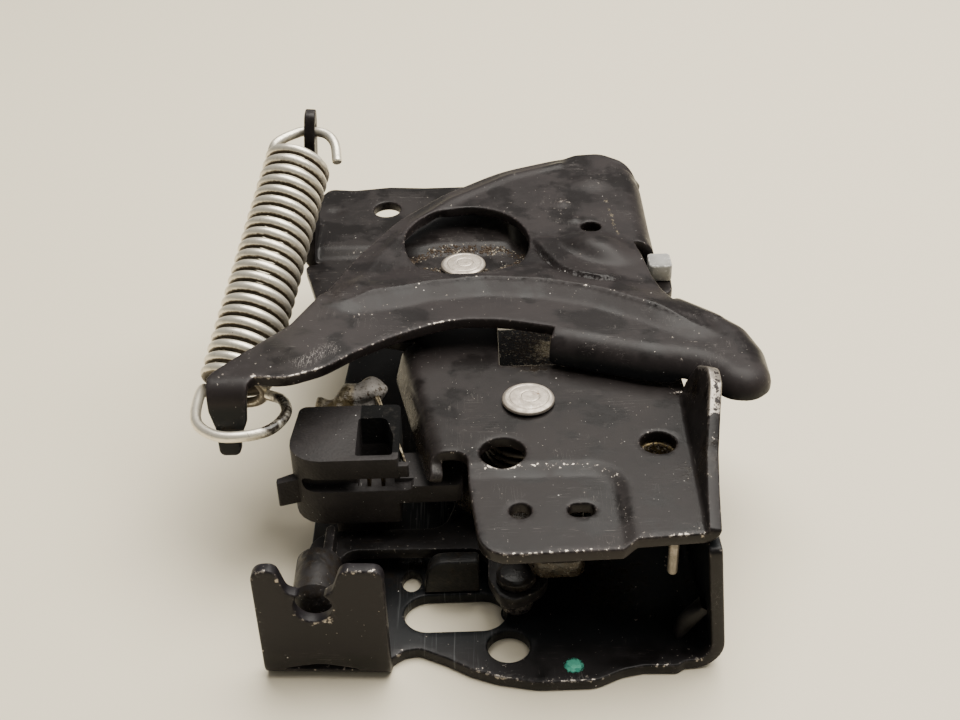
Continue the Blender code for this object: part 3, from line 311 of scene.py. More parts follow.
class Pressing:
    """A flat blank with rounded edges, pressed to a surface and folded along lines."""

    def __init__(self, outline, holes, spacing, extra=()):
        loops = []
        for number, loop in enumerate([outline, *holes]):
            loop = divided(loop, EDGE_STEP)
            loops.append(loop if (signed_area(loop) > 0) == (number == 0) else loop[::-1])
        rings = []
        for loop in loops:
            left = loop_normals(loop)
            rings.append([(np.array(loop) + left * inward, depth) for inward, depth in RIM_RINGS])
        grid, gap = self.fill(loops, spacing, extra)
        flat, faces, source = self.triangulated([ring[0][0] for ring in rings], grid)
        rim_count = sum(len(loop) for loop in loops)
        count = len(flat)
        rim, corner = np.zeros(count), np.zeros(count)
        for given, index in source.items():
            if given >= rim_count:
                rim[index] = gap[given - rim_count]
            else:
                corner[index] = RIM_WEAR_AND_SHEEN[0]
        parts = [(*flat.T, np.full(count, depth), rim, corner) for depth in (0.0, SHEET)]
        self.faces = faces + [tuple(i + count for i in reversed(f)) for f in faces]
        total, start = 2 * count, 0
        for ring in rings:
            size = len(ring[0][0])
            top_ids = np.array([source[start + i] for i in range(size)])
            start += size
            previous = top_ids
            for points, depth, wear in self.levels(ring):
                ids = np.arange(total, total + size)
                total += size
                parts.append((*points.T, np.full(size, depth), np.zeros(size), np.full(size, wear)))
                self.faces += strip(previous, ids)
                previous = ids
            self.faces += strip(previous, top_ids + count)
        self.flat_x, self.flat_y, self.depth, self.rim, self.corner = map(np.concatenate, zip(*parts))
        self.bend = np.zeros(total)

    @staticmethod
    def levels(ring):
        """The rows of points down an edge: each one's place, depth and edge weight, for wear and painted
        highlight.
        """
        upper = [(p, d, w) for (p, d), w in zip(ring[1:], RIM_WEAR_AND_SHEEN[1:])]
        return [*upper, (ring[-1][0], SHEET / 2, 0.0), *((p, SHEET - d, w) for p, d, w in reversed(upper))]

    @staticmethod
    def triangulated(loops, grid):
        """Points and faces of the blank's top, and where each given point went."""
        verts, edges = [], []
        for loop in loops:
            first = len(verts)
            verts.extend(Vector(p) for p in loop)
            edges += [(first + i, first + (i + 1) % len(loop)) for i in range(len(loop))]
        verts.extend(Vector(p) for p in grid)
        flat, _, faces, origins, _, _ = delaunay_2d_cdt(verts, edges, [], 0, 1e-6)
        centres = np.array([[sum(flat[i][k] for i in f) / len(f) for k in (0, 1)] for f in faces])
        faces = [tuple(f) for f, kept in zip(faces, on_sheet(centres, loops)) if kept]
        source = {given: index for index, sources in enumerate(origins) for given in sources}
        return np.array([tuple(p) for p in flat]), faces, source

    @staticmethod
    def fill(loops, spacing, extra):
        """Points inside the outline and clear of its edges, with each one's distance from the nearest."""
        x0, y0 = np.array(loops[0]).min(0)
        x1, y1 = np.array(loops[0]).max(0)
        grid = [np.array(extra).reshape(-1, 2)]
        for number, y in enumerate(np.arange(y0, y1, spacing * ROW_SHARE)):
            xs = np.arange(x0 + (number % 2) * spacing / 2, x1, spacing)
            grid.append(np.stack([xs, np.full(xs.shape, y)], 1))
        grid = np.concatenate(grid)
        grid = grid[on_sheet(grid, loops)]
        gap = np.full(len(grid), FAR)
        for loop in loops:
            gap = np.minimum(gap, beside(*grid.T, [*loop, loop[0]])[0])
        clear = gap > FILLET + EDGE_CLEAR
        return grid[clear], gap[clear]

    def press(self, top, square=0.0):
        """Sets the surface. Square 1 keeps the sheet's full thickness on slopes."""
        x, y = self.flat_x, self.flat_y
        step = 0.3
        slope_x = square * (top(x + step, y) - top(x - step, y)) / (2 * step)
        slope_y = square * (top(x, y + step) - top(x, y - step)) / (2 * step)
        drop = self.depth / np.sqrt(1 + slope_x ** 2 + slope_y ** 2)
        self.top = top(x, y)
        self.x = x + drop * slope_x
        self.y = y + drop * slope_y
        self.z = self.top - drop

    def fold(self, line, side, radius, degrees, up, zone, fade=None):
        """Turns what lies beyond a line, seen in the blank, up or down about that line."""
        x, y = self.flat_x, self.flat_y
        gap, place, foot_x, foot_y, where = beside(x, y, line)
        moved = (where == side) & (gap > 1e-6) & zone(x, y)
        neutral = radius + SHEET / 2
        angle = np.maximum(1e-3, math.radians(degrees) * (fade(place) if fade else np.ones(gap.shape)))
        turn = np.minimum(gap / neutral, angle)
        straight = np.maximum(0, gap - angle * neutral)
        around = radius + (self.depth if up else SHEET - self.depth)
        reach = (around * np.sin(turn) + straight * np.cos(turn)) / np.maximum(gap, 1e-9)
        rise = radius - around * np.cos(turn) + straight * np.sin(turn)
        height = self.top + rise if up else self.top - SHEET - rise
        self.x = np.where(moved, foot_x + (x - foot_x) * reach, self.x)
        self.y = np.where(moved, foot_y + (y - foot_y) * reach, self.y)
        self.z = np.where(moved, height, self.z)
        self.bend = np.where(moved, np.sin(math.pi * np.minimum(turn / angle, 1)), self.bend)

    def made(self, name, marks):
        points = np.stack([self.x, self.y, self.z], 1)
        values = {"rim": np.minimum(self.rim, 12.0), "corner": self.corner, "bend": self.bend}
        values.update(marks(self))
        return mesh_object(name, points, self.faces, values)


def strip(upper, lower):
    size = len(upper)
    ring = [(i, (i + 1) % size) for i in range(size)]
    return [(int(upper[j]), int(upper[i]), int(lower[i]), int(lower[j])) for i, j in ring]


def near(blank, line, width):
    """1 on an open line of (x, y, z) points, falling to 0 at the given distance from it."""
    points = np.stack([blank.x, blank.y, blank.z], 1)
    best = np.full(len(points), FAR)
    for a, b in zip(line, line[1:] if len(line) > 1 else line):
        a, b = np.array(a, float), np.array(b, float)
        run = b - a
        share = np.clip((points - a) @ run / max(run @ run, 1e-9), 0, 1)
        best = np.minimum(best, np.linalg.norm(points - a - share[:, None] * run, axis=1))
    return 1 - smooth(0.0, width, best)


def spots(blank, *rounds):
    """The strongest of several round marks, each (x, y, z, reach, strength)."""
    total = np.zeros(len(blank.x))
    for x, y, z, reach, strength in rounds:
        total = np.maximum(total, strength * near(blank, [(x, y, z)], reach))
    return total


def strokes(blank, total, *lines):
    """The stronger of the marks so far and marks along lines, each (strength, width, *points)."""
    for strength, width, *points in lines:
        total = np.maximum(total, strength * near(blank, points, width))
    return total


# Base frame: plate, right wall and cable bracket folded from one sheet

WALL_FOLD_X = 46.2
WALL_REAR = -27.0
WALL_BEND_R = 4.0
WALL_LEAN = 95.0
WALL_STRAIGHT = 27.2
BRACKET_LEFT, BRACKET_RIGHT = -51.0, -22.2
BRACKET_BEND_R = 1.4
BRACKET_TALL = 33.4
BRACKET_TURN = math.radians(-3.0)
BRACKET_FRONT = BASE_FRONT - 1.5
KEYHOLE = (-38.2, BRACKET_TALL - 10.8)
KEYHOLE_R = 4.3
BASE_HOLE = ((4.65, BASE_FRONT + 5.2), 4.9)
BASE_SLOT = ((-7.6, BASE_FRONT + 16.4), 24.4, 12.0)
BASE_NOTCH = ((-18.2, BASE_FRONT + 27.6), 2.4, 1.5)
BASE_RIVET_HOLE_R = 4.3
RELEASE_HOLE_R = 3.3


def bend_length(radius, degrees):
    """Length of blank that a bend takes up."""
    return math.radians(degrees) * (radius + SHEET / 2)


def from_fold(x, ahead):
    """A point of the blank at an X and a distance from the bracket's fold line, which is a little askew."""
    offset = Matrix.Rotation(BRACKET_TURN, 2) @ Vector((x - BRACKET_RIGHT, BRACKET_BEND_R + SHEET + ahead))
    return (BRACKET_RIGHT + offset.x, BRACKET_FRONT + offset.y)


def on_bracket(x, height, *radius):
    """A point of the bracket, at an X and height above the floor, laid out flat before its fold line."""
    return (*from_fold(x, -bend_length(BRACKET_BEND_R, 90) - height + BRACKET_BEND_R + SHEET), *radius)


def bracket_corners():
    key_x, key_z = KEYHOLE
    corners = [on_bracket(BRACKET_LEFT, 5.0), on_bracket(BRACKET_LEFT, BRACKET_TALL - 0.5, 3.0),
               on_bracket(-45.6, BRACKET_TALL, 2.2),
               on_bracket(key_x - KEYHOLE_R - 1.2, BRACKET_TALL - 6.5, 2.0)]
    for step in range(19):
        angle = math.radians(130 + step * 280 / 18)
        corners.append(on_bracket(key_x + KEYHOLE_R * math.cos(angle), key_z + KEYHOLE_R * math.sin(angle)))
    return corners + [on_bracket(key_x + KEYHOLE_R + 0.4, BRACKET_TALL - 6.0, 2.0),
                      on_bracket(key_x + KEYHOLE_R + 2.5, BRACKET_TALL, 2.5),
                      on_bracket(BRACKET_RIGHT, BRACKET_TALL, 2.5), on_bracket(BRACKET_RIGHT, 5.0)]


def base_outline():
    wall_edge = WALL_FOLD_X + bend_length(WALL_BEND_R, WALL_LEAN) + WALL_STRAIGHT
    front = BASE_FRONT
    return rounded([
        *bracket_corners(), (*from_fold(BRACKET_RIGHT, -0.4), 0.6),
        (-19.4, front + 4.6, 3), (-16.0, front + 5.2, 3), (-10.0, front + 2.2, 3), (-4.0, front - 1.6, 4),
        (2.0, front - 4.1, 9), (11.0, front - 6.1, 14), (24.0, front - 6.0, 8), (30.0, front - 3.1, 8),
        (35.0, front - 2.0, 5), (42.6, front - 2.3, 2), (44.4, front - 1.0, 2), (50.0, front - 0.6),
        (wall_edge, front + 0.8, 1.5), (wall_edge, WALL_REAR, 2), (WALL_FOLD_X + 0.4, WALL_REAR, 0.6),
        (WALL_FOLD_X - 0.6, WALL_REAR + 5, 3), (46.0, MOUTH_LOW, 3), (MOUTH_END, MOUTH_LOW, 3),
        (MOUTH_END, MOUTH_HIGH, 3), (42.0, MOUTH_HIGH, 4), (46.0, 18.0, 5), (45.0, 44.0, 8),
        (36.0, 56.0, 8), (-33.0, 56.0, 8), (-40.0, 42.0, 10), (-42.5, 0.0, 20),
        (-44.0, -32.0, 10), (-44.0, front + 20, 4),
        (-50.8, front + 10, 3), (*from_fold(BRACKET_LEFT, 0.6), 0.5)])


def base_frame():
    across = [from_fold(BRACKET_LEFT - 2, 0), from_fold(BRACKET_RIGHT + 0.8, 0)]
    wall = [(WALL_FOLD_X, BASE_FRONT - 4), (WALL_FOLD_X, WALL_REAR)]
    foot = BRACKET_BEND_R + SHEET
    relief = rounded([(*from_fold(-46.4, -3.4), 0.6), (*from_fold(-29.1, -3.4), 0.6),
                      on_bracket(-30.0, foot - 0.7, 2), on_bracket(-38.0, foot + 0.6, 10),
                      on_bracket(-45.6, foot - 0.7, 2)])
    holes = [circle(*BASE_HOLE), obround(*BASE_SLOT), circle(*BASE_NOTCH), relief,
             *(circle(axis, BASE_RIVET_HOLE_R) for axis in (CLAW_AXIS, PAWL_AXIS)),
             circle(RELEASE_AXIS, RELEASE_HOLE_R)]
    rows = rows_beside(wall, -1, bend_rows(0.95, 11)) + rows_beside(across, -1, bend_rows(0.7, 8))
    blank = Pressing(base_outline(), holes, 1.6, rows)
    blank.press(lambda x, y: SHEET + 0 * x)
    blank.fold(wall, -1, WALL_BEND_R, WALL_LEAN, True, lambda x, y: y < WALL_REAR + 0.2)
    blank.fold(across, -1, BRACKET_BEND_R, 90, True, lambda x, y: x < BRACKET_RIGHT + 0.7)
    return blank.made("base_frame_sheet", base_marks)


def gusset():
    """Pressed dart in the corner between the base plate and the wall."""
    reach, high, rows, wide, half_width = 4.6, 10.0, 11, 7, 1.9
    front, back = [], []
    for row in range(rows):
        along = row / (rows - 1)
        middle = 4.0 * along * (1 - along)
        for step in range(wide):
            side = (step - 3) / 3
            swell = 1 - abs(side) ** 2.2
            y = BASE_FRONT + 7.8 + half_width * side
            front.append((WALL_FOLD_X - 3.2 + (reach + 1.0) * along - 1.6 * middle * swell, y,
                          SHEET - 0.35 + high * along + 0.9 * middle * swell))
            back.append((WALL_FOLD_X - 2.6 + (reach + 2.2) * along, y, SHEET - 1.2 + high * along * 0.96))
    behind = len(front)
    faces = []
    for row in range(rows - 1):
        for a in range(row * wide, row * wide + wide - 1):
            b = behind + a
            faces += [(a, a + 1, a + wide + 1, a + wide), (b, b + wide, b + wide + 1, b + 1)]
        for a in (row * wide, row * wide + wide - 1):
            faces.append((a, a + wide, behind + a + wide, behind + a))
    for row in (0, rows - 1):
        for a in range(row * wide, row * wide + wide - 1):
            faces.append((a, a + 1, behind + a + 1, behind + a))
    return mesh_object("base_frame_dart", front + back, faces, {"corner": np.zeros(2 * behind)}, 50)


# Main plate: the upper deck with its dropped panel, raised rear deck, ear, side flange and spring anchor

EAR_FOOT = 47.4
EAR_SPLAY = 0.03
EAR_BEND_R = 1.2
EAR_DEGREES = 76.0
BUSH_HOLE = ((41.1, -49.3), 4.2)
PANEL_EDGE_X = 31.0
PANEL_DROP = 1.2
REAR_STEP_Y, REAR_STEP_X, REAR_RISE = 44.0, 11.0, 2.0
ANCHOR_HOLE = (47.5, 76.0)
ANCHOR_HOLE_R = 2.0
DECK_RIVET_HOLE_R = 4.8
STUD_HOLE_R = 5.3
BUFFER_HOLE_R = 2.1
DECK_HOLE = ((4.6, -51.2), 5.4)
REAR_HOLE = ((-27.2, 69.0), 4.1, 1.2)
PANEL_HOLE = ((7.9, -70.8), 2.5)
PANEL_SLOT = ((21.4, -71.1), 6.1, 4.4)
TAB_FOLD_X = -45.8
TAB_BEND_R = 1.2
TAB_LEAN = 94.9
SIDE_BEND_R = 1.0
SIDE_DEGREES = 72
SIDE_LINE = [(-21.0, -5.0), (-12.0, -55.0)]
SIDE_LENGTH = (Vector(SIDE_LINE[1]) - Vector(SIDE_LINE[0])).length
BUFFER_AT = (51.2, 27.0)
DIMPLE = (-43.1, 68.0)
DIMPLE_R = 3.2


def on_ear(y, height, *radius):
    foot = EAR_FOOT + EAR_SPLAY * (y + 55.0)
    return (foot + bend_length(EAR_BEND_R, EAR_DEGREES) + height - DECK_TOP - EAR_BEND_R, y, *radius)


def from_side(place, beyond, *radius):
    """A point of the blank beside the side flange's fold: how far along it, and how far beyond it."""
    start, end = (Vector(p) for p in SIDE_LINE)
    run = (end - start).normalized()
    point = start + run * place + Vector((run.y, -run.x)) * (beyond - SIDE_BEND_R - SHEET)
    return (point.x, point.y, *radius)


def on_tab(y, height, *radius):
    rise = height - DECK_TOP - REAR_RISE - TAB_BEND_R
    return (TAB_FOLD_X - bend_length(TAB_BEND_R, TAB_LEAN) - rise, y, *radius)


def ear_corners():
    return [on_ear(-81.2, 39.4, 1.5), on_ear(-72, 42, 10), on_ear(-62, 45.5, 14), on_ear(-53, 51, 8),
            on_ear(-47.5, 54.4, 4), on_ear(-42, 54.6, 5), on_ear(-34, 49.5, 8), on_ear(-30.5, 42, 2),
            on_ear(-30.4, 38.6)]


def tab_corners():
    hole_y, hole_z = ANCHOR_HOLE
    return [on_tab(59.0, 42), on_tab(56.5, 51, 10), on_tab(hole_y + 5.1, hole_z + 2, 5),
            on_tab(hole_y + 3.1, hole_z + 5.6, 2), on_tab(hole_y - 1.5, hole_z + 5.6, 2),
            on_tab(hole_y - 3.9, hole_z, 4), on_tab(hole_y - 3.9, 57, 10), on_tab(40.5, 42)]


def side_corners():
    arc = bend_length(SIDE_BEND_R, 90)
    return [from_side(-1.5, 3.0), from_side(-0.6, -0.5), from_side(0.6, 3.0), from_side(2.0, arc + 6, 2),
            from_side(SIDE_LENGTH - 3.0, arc + 3.4, 2), from_side(SIDE_LENGTH + 0.4, arc + 1.5, 1),
            from_side(SIDE_LENGTH - 0.6, 3.6), (-11.3, -50.4, 3.2), (-3.7, -50.4, 3.6)]


def deck_outline():
    return rounded([
        (-3.5, -60.0), (-1.0, -85.2, 7), (29.5, -84.4, 2), (32.6, -82.4, 2), (46.0, -81.6), (49.5, -81.5),
        *ear_corners(), (EAR_FOOT + 0.3, -30.3), (EAR_FOOT + 0.3, -29.9), (50.6, -29.6, 0.5),
        (50.4, -22.6, 1.5), (43.4, -17.6, 1.5), (36.0, -16.6, 8),
        (21.0, -16.4, 4), (20.0, MOUTH_LOW, 1), (MOUTH_END, MOUTH_LOW, 1), (MOUTH_END, MOUTH_HIGH, 3),
        (44.0, MOUTH_HIGH, 4), (54.0, 19.0, 4), (55.0, 34.0, 4), (48.0, 46.0, 6), (44.0, 62.0, 10),
        (28.0, 76.0, 10), (14.0, 83.0, 6), (-16.0, 83.0, 4), (-27.0, 84.2, 8), (-38.0, 82.6, 8),
        (-46.0, 84.0, 3), (-50.0, 76.0, 6), (-50.0, 60.6), (TAB_FOLD_X + 0.5, 59.8), *tab_corners(),
        (TAB_FOLD_X + 0.5, 39.8), (-50.0, 39.0, 2), (-44.0, 16.0, 20), (-30.0, 0.0, 10),
        *side_corners()])


def deck_top(x, y):
    across, back = np.maximum(0, x - PANEL_EDGE_X + 7), np.maximum(0, y + 65.0)
    panel = smooth(9.2, 4.8, np.hypot(across, back * 0.9))
    rear = smooth(REAR_STEP_Y - 2.0, REAR_STEP_Y + 2.0, y) * smooth(REAR_STEP_X + 2.0, REAR_STEP_X - 2.0, x)
    dimple = 0.8 * np.maximum(0.0, 1.0 - np.hypot(x - DIMPLE[0], y - DIMPLE[1]) / DIMPLE_R)
    return DECK_TOP - PANEL_DROP * panel + REAR_RISE * rear - dimple


def main_plate():
    holes = [*(circle(axis, DECK_RIVET_HOLE_R) for axis in (CLAW_AXIS, PAWL_AXIS)),
             circle(LEVER_AXIS, STUD_HOLE_R), circle(BUFFER_AT, BUFFER_HOLE_R), circle(*DECK_HOLE),
             circle(*BUSH_HOLE), circle(*REAR_HOLE), circle(*PANEL_HOLE), obround(*PANEL_SLOT),
             circle(on_tab(*ANCHOR_HOLE), ANCHOR_HOLE_R)]
    ear = [(EAR_FOOT + EAR_SPLAY * (y + 55.0), y) for y in (-85.0, -30.2)]
    side = [from_side(-0.4, 0), from_side(SIDE_LENGTH + 1.0, 0)]
    tab = [(TAB_FOLD_X, 39.9), (TAB_FOLD_X, 59.7)]
    rows = rows_beside(ear, -1, bend_rows(0.8, 7)) + rows_beside(side, -1, bend_rows(0.7, 7))
    rows += rows_beside(tab, 1, bend_rows(0.7, 8))
    rows += [(x * 1.2 - 2.0, -53.2 - 0.65 * i) for i in range(12) for x in range(30)]
    rows += [(PANEL_EDGE_X - 1.5 + 0.5 * i, -58.0 - 1.0 * j) for i in range(7) for j in range(26)]
    blank = Pressing(deck_outline(), holes, 1.4, rows)
    blank.press(deck_top)
    blank.fold(ear, -1, EAR_BEND_R, EAR_DEGREES, True, lambda x, y: y < -30.1)
    blank.fold(side, -1, SIDE_BEND_R, SIDE_DEGREES, False, lambda x, y: (y < -4.6) & (x < 0))
    blank.fold(tab, 1, TAB_BEND_R, TAB_LEAN, True, lambda x, y: (y > 39.8) & (y < 59.85))
    return blank.made("main_plate_sheet", deck_marks)


# Safety lever: one pressed sheet with a lightening hole, a crescent bead, a dome and turned-down edges

LEVER_TOP = 47.0
LEVER_ARM_RISE = 4.0
LEVER_HOLE = ((-2.6, 33.9), 17.6, 1.21)
SMALL_HOLE = ((33.0, 41.0), 2.9)
RIM_BEND_R = 3.0
RIM_DEGREES = 84
RIM_LIP = 0.6
REAR_LIP = 2.2
HOOK_FOLD_Y = -36.0
HOOK_BEND_R = 2.0
HOOK_DEGREES = 80
RIM_LINE = [(19.6, -11.6), (30.0, -15.6), (43.0, -20.6), (48.0, -21.6), (52.2, -22.9), (55.6, -24.5),
            (58.3, -26.5), (60.4, -28.9), (61.7, -31.2), (62.6, -32.3), (63.6, -32.5), (64.5, -31.7),
            (65.0, -30.0), (65.2, -22.5), (63.2, -14.5), (58.6, -8.6), (51.0, -2.0)]
REAR_LINE = [(44.4, 32.0), (44.5, 46.0), (44.8, 60.0), (45.0, 70.0), (44.4, 77.0), (42.0, 84.0)]
LEVER_BULGE = ((33.0, 27.5), 13.5, 7.0, math.radians(-40))
BULGE_HIGH = 3.0
LEVER_BEAD = [(-34.5, -2.0), (-27.0, 2.5), (-14.0, 8.0), (2.0, 10.0), (18.0, 7.8), (32.0, 2.4),
              (45.0, -6.0), (56.0, -15.5)]
BEAD_HIGH = 2.6
LEVER_BUMPS = [(26.0, 56.0, 3.4, 0.5), (28.8, 45.6, 3.2, 0.5), (36.0, 70.0, 9.0, 0.9)]
REAR_LEFT_EDGE = [(-39.4, 6.0), (-32.6, 26.0), (-22.2, 50.0), (-10.6, 65.0), (8.0, 80.6), (27.4, 88.6)]
LEVER_CREASE = [(15.2, 35.0), (17.8, 26.0), (22.4, 15.9), (27.0, 11.0), (32.6, 8.3), (38.6, 9.6)]
SECOND_RIDGE = [(-20.0, 16.0), (-8.0, 17.6), (4.0, 18.2), (16.0, 15.6)]
RIDGE_LINE = [(-32.0, 6.0), (-26.5, 24.5), (-17.4, 46.0), (-6.6, 60.2), (10.4, 74.4), (27.0, 82.0)]


def on_hook(x, height, *radius):
    turn = math.radians(HOOK_DEGREES)
    foot = LEVER_TOP + LEVER_ARM_RISE - (HOOK_BEND_R + SHEET) * (1 - math.cos(turn))
    flat = HOOK_FOLD_Y - bend_length(HOOK_BEND_R, HOOK_DEGREES) - (foot - height) / math.sin(turn)
    return (x, flat, *radius)


def lever_outline():
    rear_reach = bend_length(RIM_BEND_R, RIM_DEGREES) + REAR_LIP
    rim_reach = bend_length(RIM_BEND_R, RIM_DEGREES) + RIM_LIP
    left = [(-64.9, HOOK_FOLD_Y), (-64.0, -33.6, 2), (-57.6, -25.4, 4), (-47.6, -13.6, 14)]
    rear = [(*p, 50) for p in REAR_LEFT_EDGE] + [(40.0, 89.7, 6)]
    flange = [(*p, 2) for p in reversed(line_beside(REAR_LINE[:-1], -1, rear_reach))]
    side = [(44.3, 31.7), (45.6, 24.0, 3), (47.0, 12.0, 8), (49.2, 3.0, 3), (50.7, -1.7)]
    long_lip = line_beside(RIM_LINE[:4], -1, rim_reach + 1.8)
    rim = [(*p, 1.5) for p in reversed(long_lip + line_beside(RIM_LINE[4:], -1, rim_reach))]
    arch = [(19.2, -11.9), (18.4, -11.5, 0.6), (5.5, -7.4, 40), (-7.4, -6.8, 40), (-20.0, -13.2, 40),
            (-29.7, -22.6, 30), (-37.5, -32.0, 20), (-46.0, -37.2, 14), (-53.6, HOOK_FOLD_Y),
            (-55.2, HOOK_FOLD_Y - 2, 1.5), on_hook(-56.0, 41.0, 3), on_hook(-57.6, 37.5, 3),
            on_hook(-58.0, 33.0, 1.5), on_hook(-63.0, 33.0, 1.5), on_hook(-63.3, 40.0, 3),
            on_hook(-64.6, 44.5)]
    return rounded(left + rear + flange + side + rim + arch)


def lever_top(x, y):
    height = LEVER_TOP + LEVER_ARM_RISE * smooth(-14.0, -48.0, x)
    gap, place, _, _, side = beside(x, y, LEVER_BEAD)
    ends = smooth(0.0, 0.16, place) * smooth(1.0, 0.86, place)
    end_gap = np.where((place <= 0) | (place >= 1), gap, 0)
    shape = np.where(side < 0, np.clip(1 - gap / 5.4, 0, 1), 1 - smooth(0.0, 13.0, gap))
    shape = shape + 0.10 * (1 - smooth(0.0, 0.9, gap))
    height = height + BEAD_HIGH * (0.35 + 0.65 * ends) * shape * (1 - smooth(0, 6, end_gap))
    (cx, cy), long_r, short_r, turn = LEVER_BULGE
    along_it = (x - cx) * math.cos(turn) + (y - cy) * math.sin(turn)
    across_it = -(x - cx) * math.sin(turn) + (y - cy) * math.cos(turn)
    reach = np.hypot(along_it / long_r, across_it / np.where(across_it < 0, short_r, short_r * 1.5))
    height = height + BULGE_HIGH * (1 - smooth(0.15, 1.0, reach))
    gap, place, _, _, side = beside(x, y, LEVER_CREASE)
    ends = smooth(0.0, 0.12, place) * smooth(1.0, 0.9, place)
    pillow = 1.2 * (side > 0) * (1 - smooth(0.4, 11.0, gap))
    height = height + ends * (pillow - 0.65 * (1 - smooth(0.1, 0.95, gap)))
    height = height + 0.5 * (1 - smooth(0.0, 4.5, beside(x, y, SECOND_RIDGE)[0]))
    height = height + 0.55 * (1 - smooth(0.0, 2.6, beside(x, y, RIDGE_LINE)[0]))
    for bump_x, bump_y, reach, lift in LEVER_BUMPS:
        height = height + lift * (1 - smooth(0.1, reach, np.hypot(x - bump_x, y - bump_y)))
    edge_gap = beside(x, y, REAR_LEFT_EDGE)[0]
    return height - (1 - smooth(0.0, 5.5, edge_gap))


def safety_lever():
    holes = [circle(*LEVER_HOLE), circle(*SMALL_HOLE)]
    hook = [(-65.6, HOOK_FOLD_Y), (-53.6, HOOK_FOLD_Y)]
    rows = rows_beside(RIM_LINE, -1, bend_rows(0.75, 10), 1.1)
    rows += rows_beside(REAR_LINE, -1, bend_rows(0.75, 10), 1.2)
    rows += rows_beside(hook, -1, bend_rows(0.7, 8), 1.1)
    rows += rows_beside(LEVER_CREASE, 1, [-1.0, -0.5, 0.0, 0.5, 1.0], 0.8)
    rows += rows_beside(LEVER_BEAD, 1, [-0.9, -0.3, 0.3, 0.9], 1.0)
    blank = Pressing(lever_outline(), holes, 1.2, rows)
    blank.press(lever_top, 1.0)
    blank.fold(RIM_LINE, -1, RIM_BEND_R, RIM_DEGREES, False,
               lambda x, y: ((x > 50.9) & (y < 5)) | ((x > 19.2) & (y < -2.2)) | ((x > 15.0) & (y < -12.4)))
    blank.fold(REAR_LINE, -1, RIM_BEND_R, RIM_DEGREES, False, lambda x, y: (y > 31.6) & (x > 36),
               lambda place: 1.0 - smooth(0.66, 1.0, place))
    blank.fold(hook, -1, HOOK_BEND_R, HOOK_DEGREES, False, lambda x, y: x < -53.5)
    return blank.made("safety_lever_sheet", lever_marks)


# Materials

STEEL = (0.40, 0.37, 0.33)
DUST = (0.62, 0.59, 0.55)
OIL = (0.020, 0.015, 0.010)
CREAM = (0.50, 0.43, 0.30)
CREAM_DARK = (0.20, 0.15, 0.085)
GRIT_BROWN, GRIT_PALE = (0.050, 0.033, 0.020), (0.32, 0.28, 0.22)
TEAL, TEAL_PALE, TEAL_DARK = (0.02, 0.27, 0.19), (0.16, 0.66, 0.46), (0.01, 0.04, 0.03)
COATED_SPECULAR = 0.20


def tone(colour, factor):
    return tuple(c * factor for c in colour)


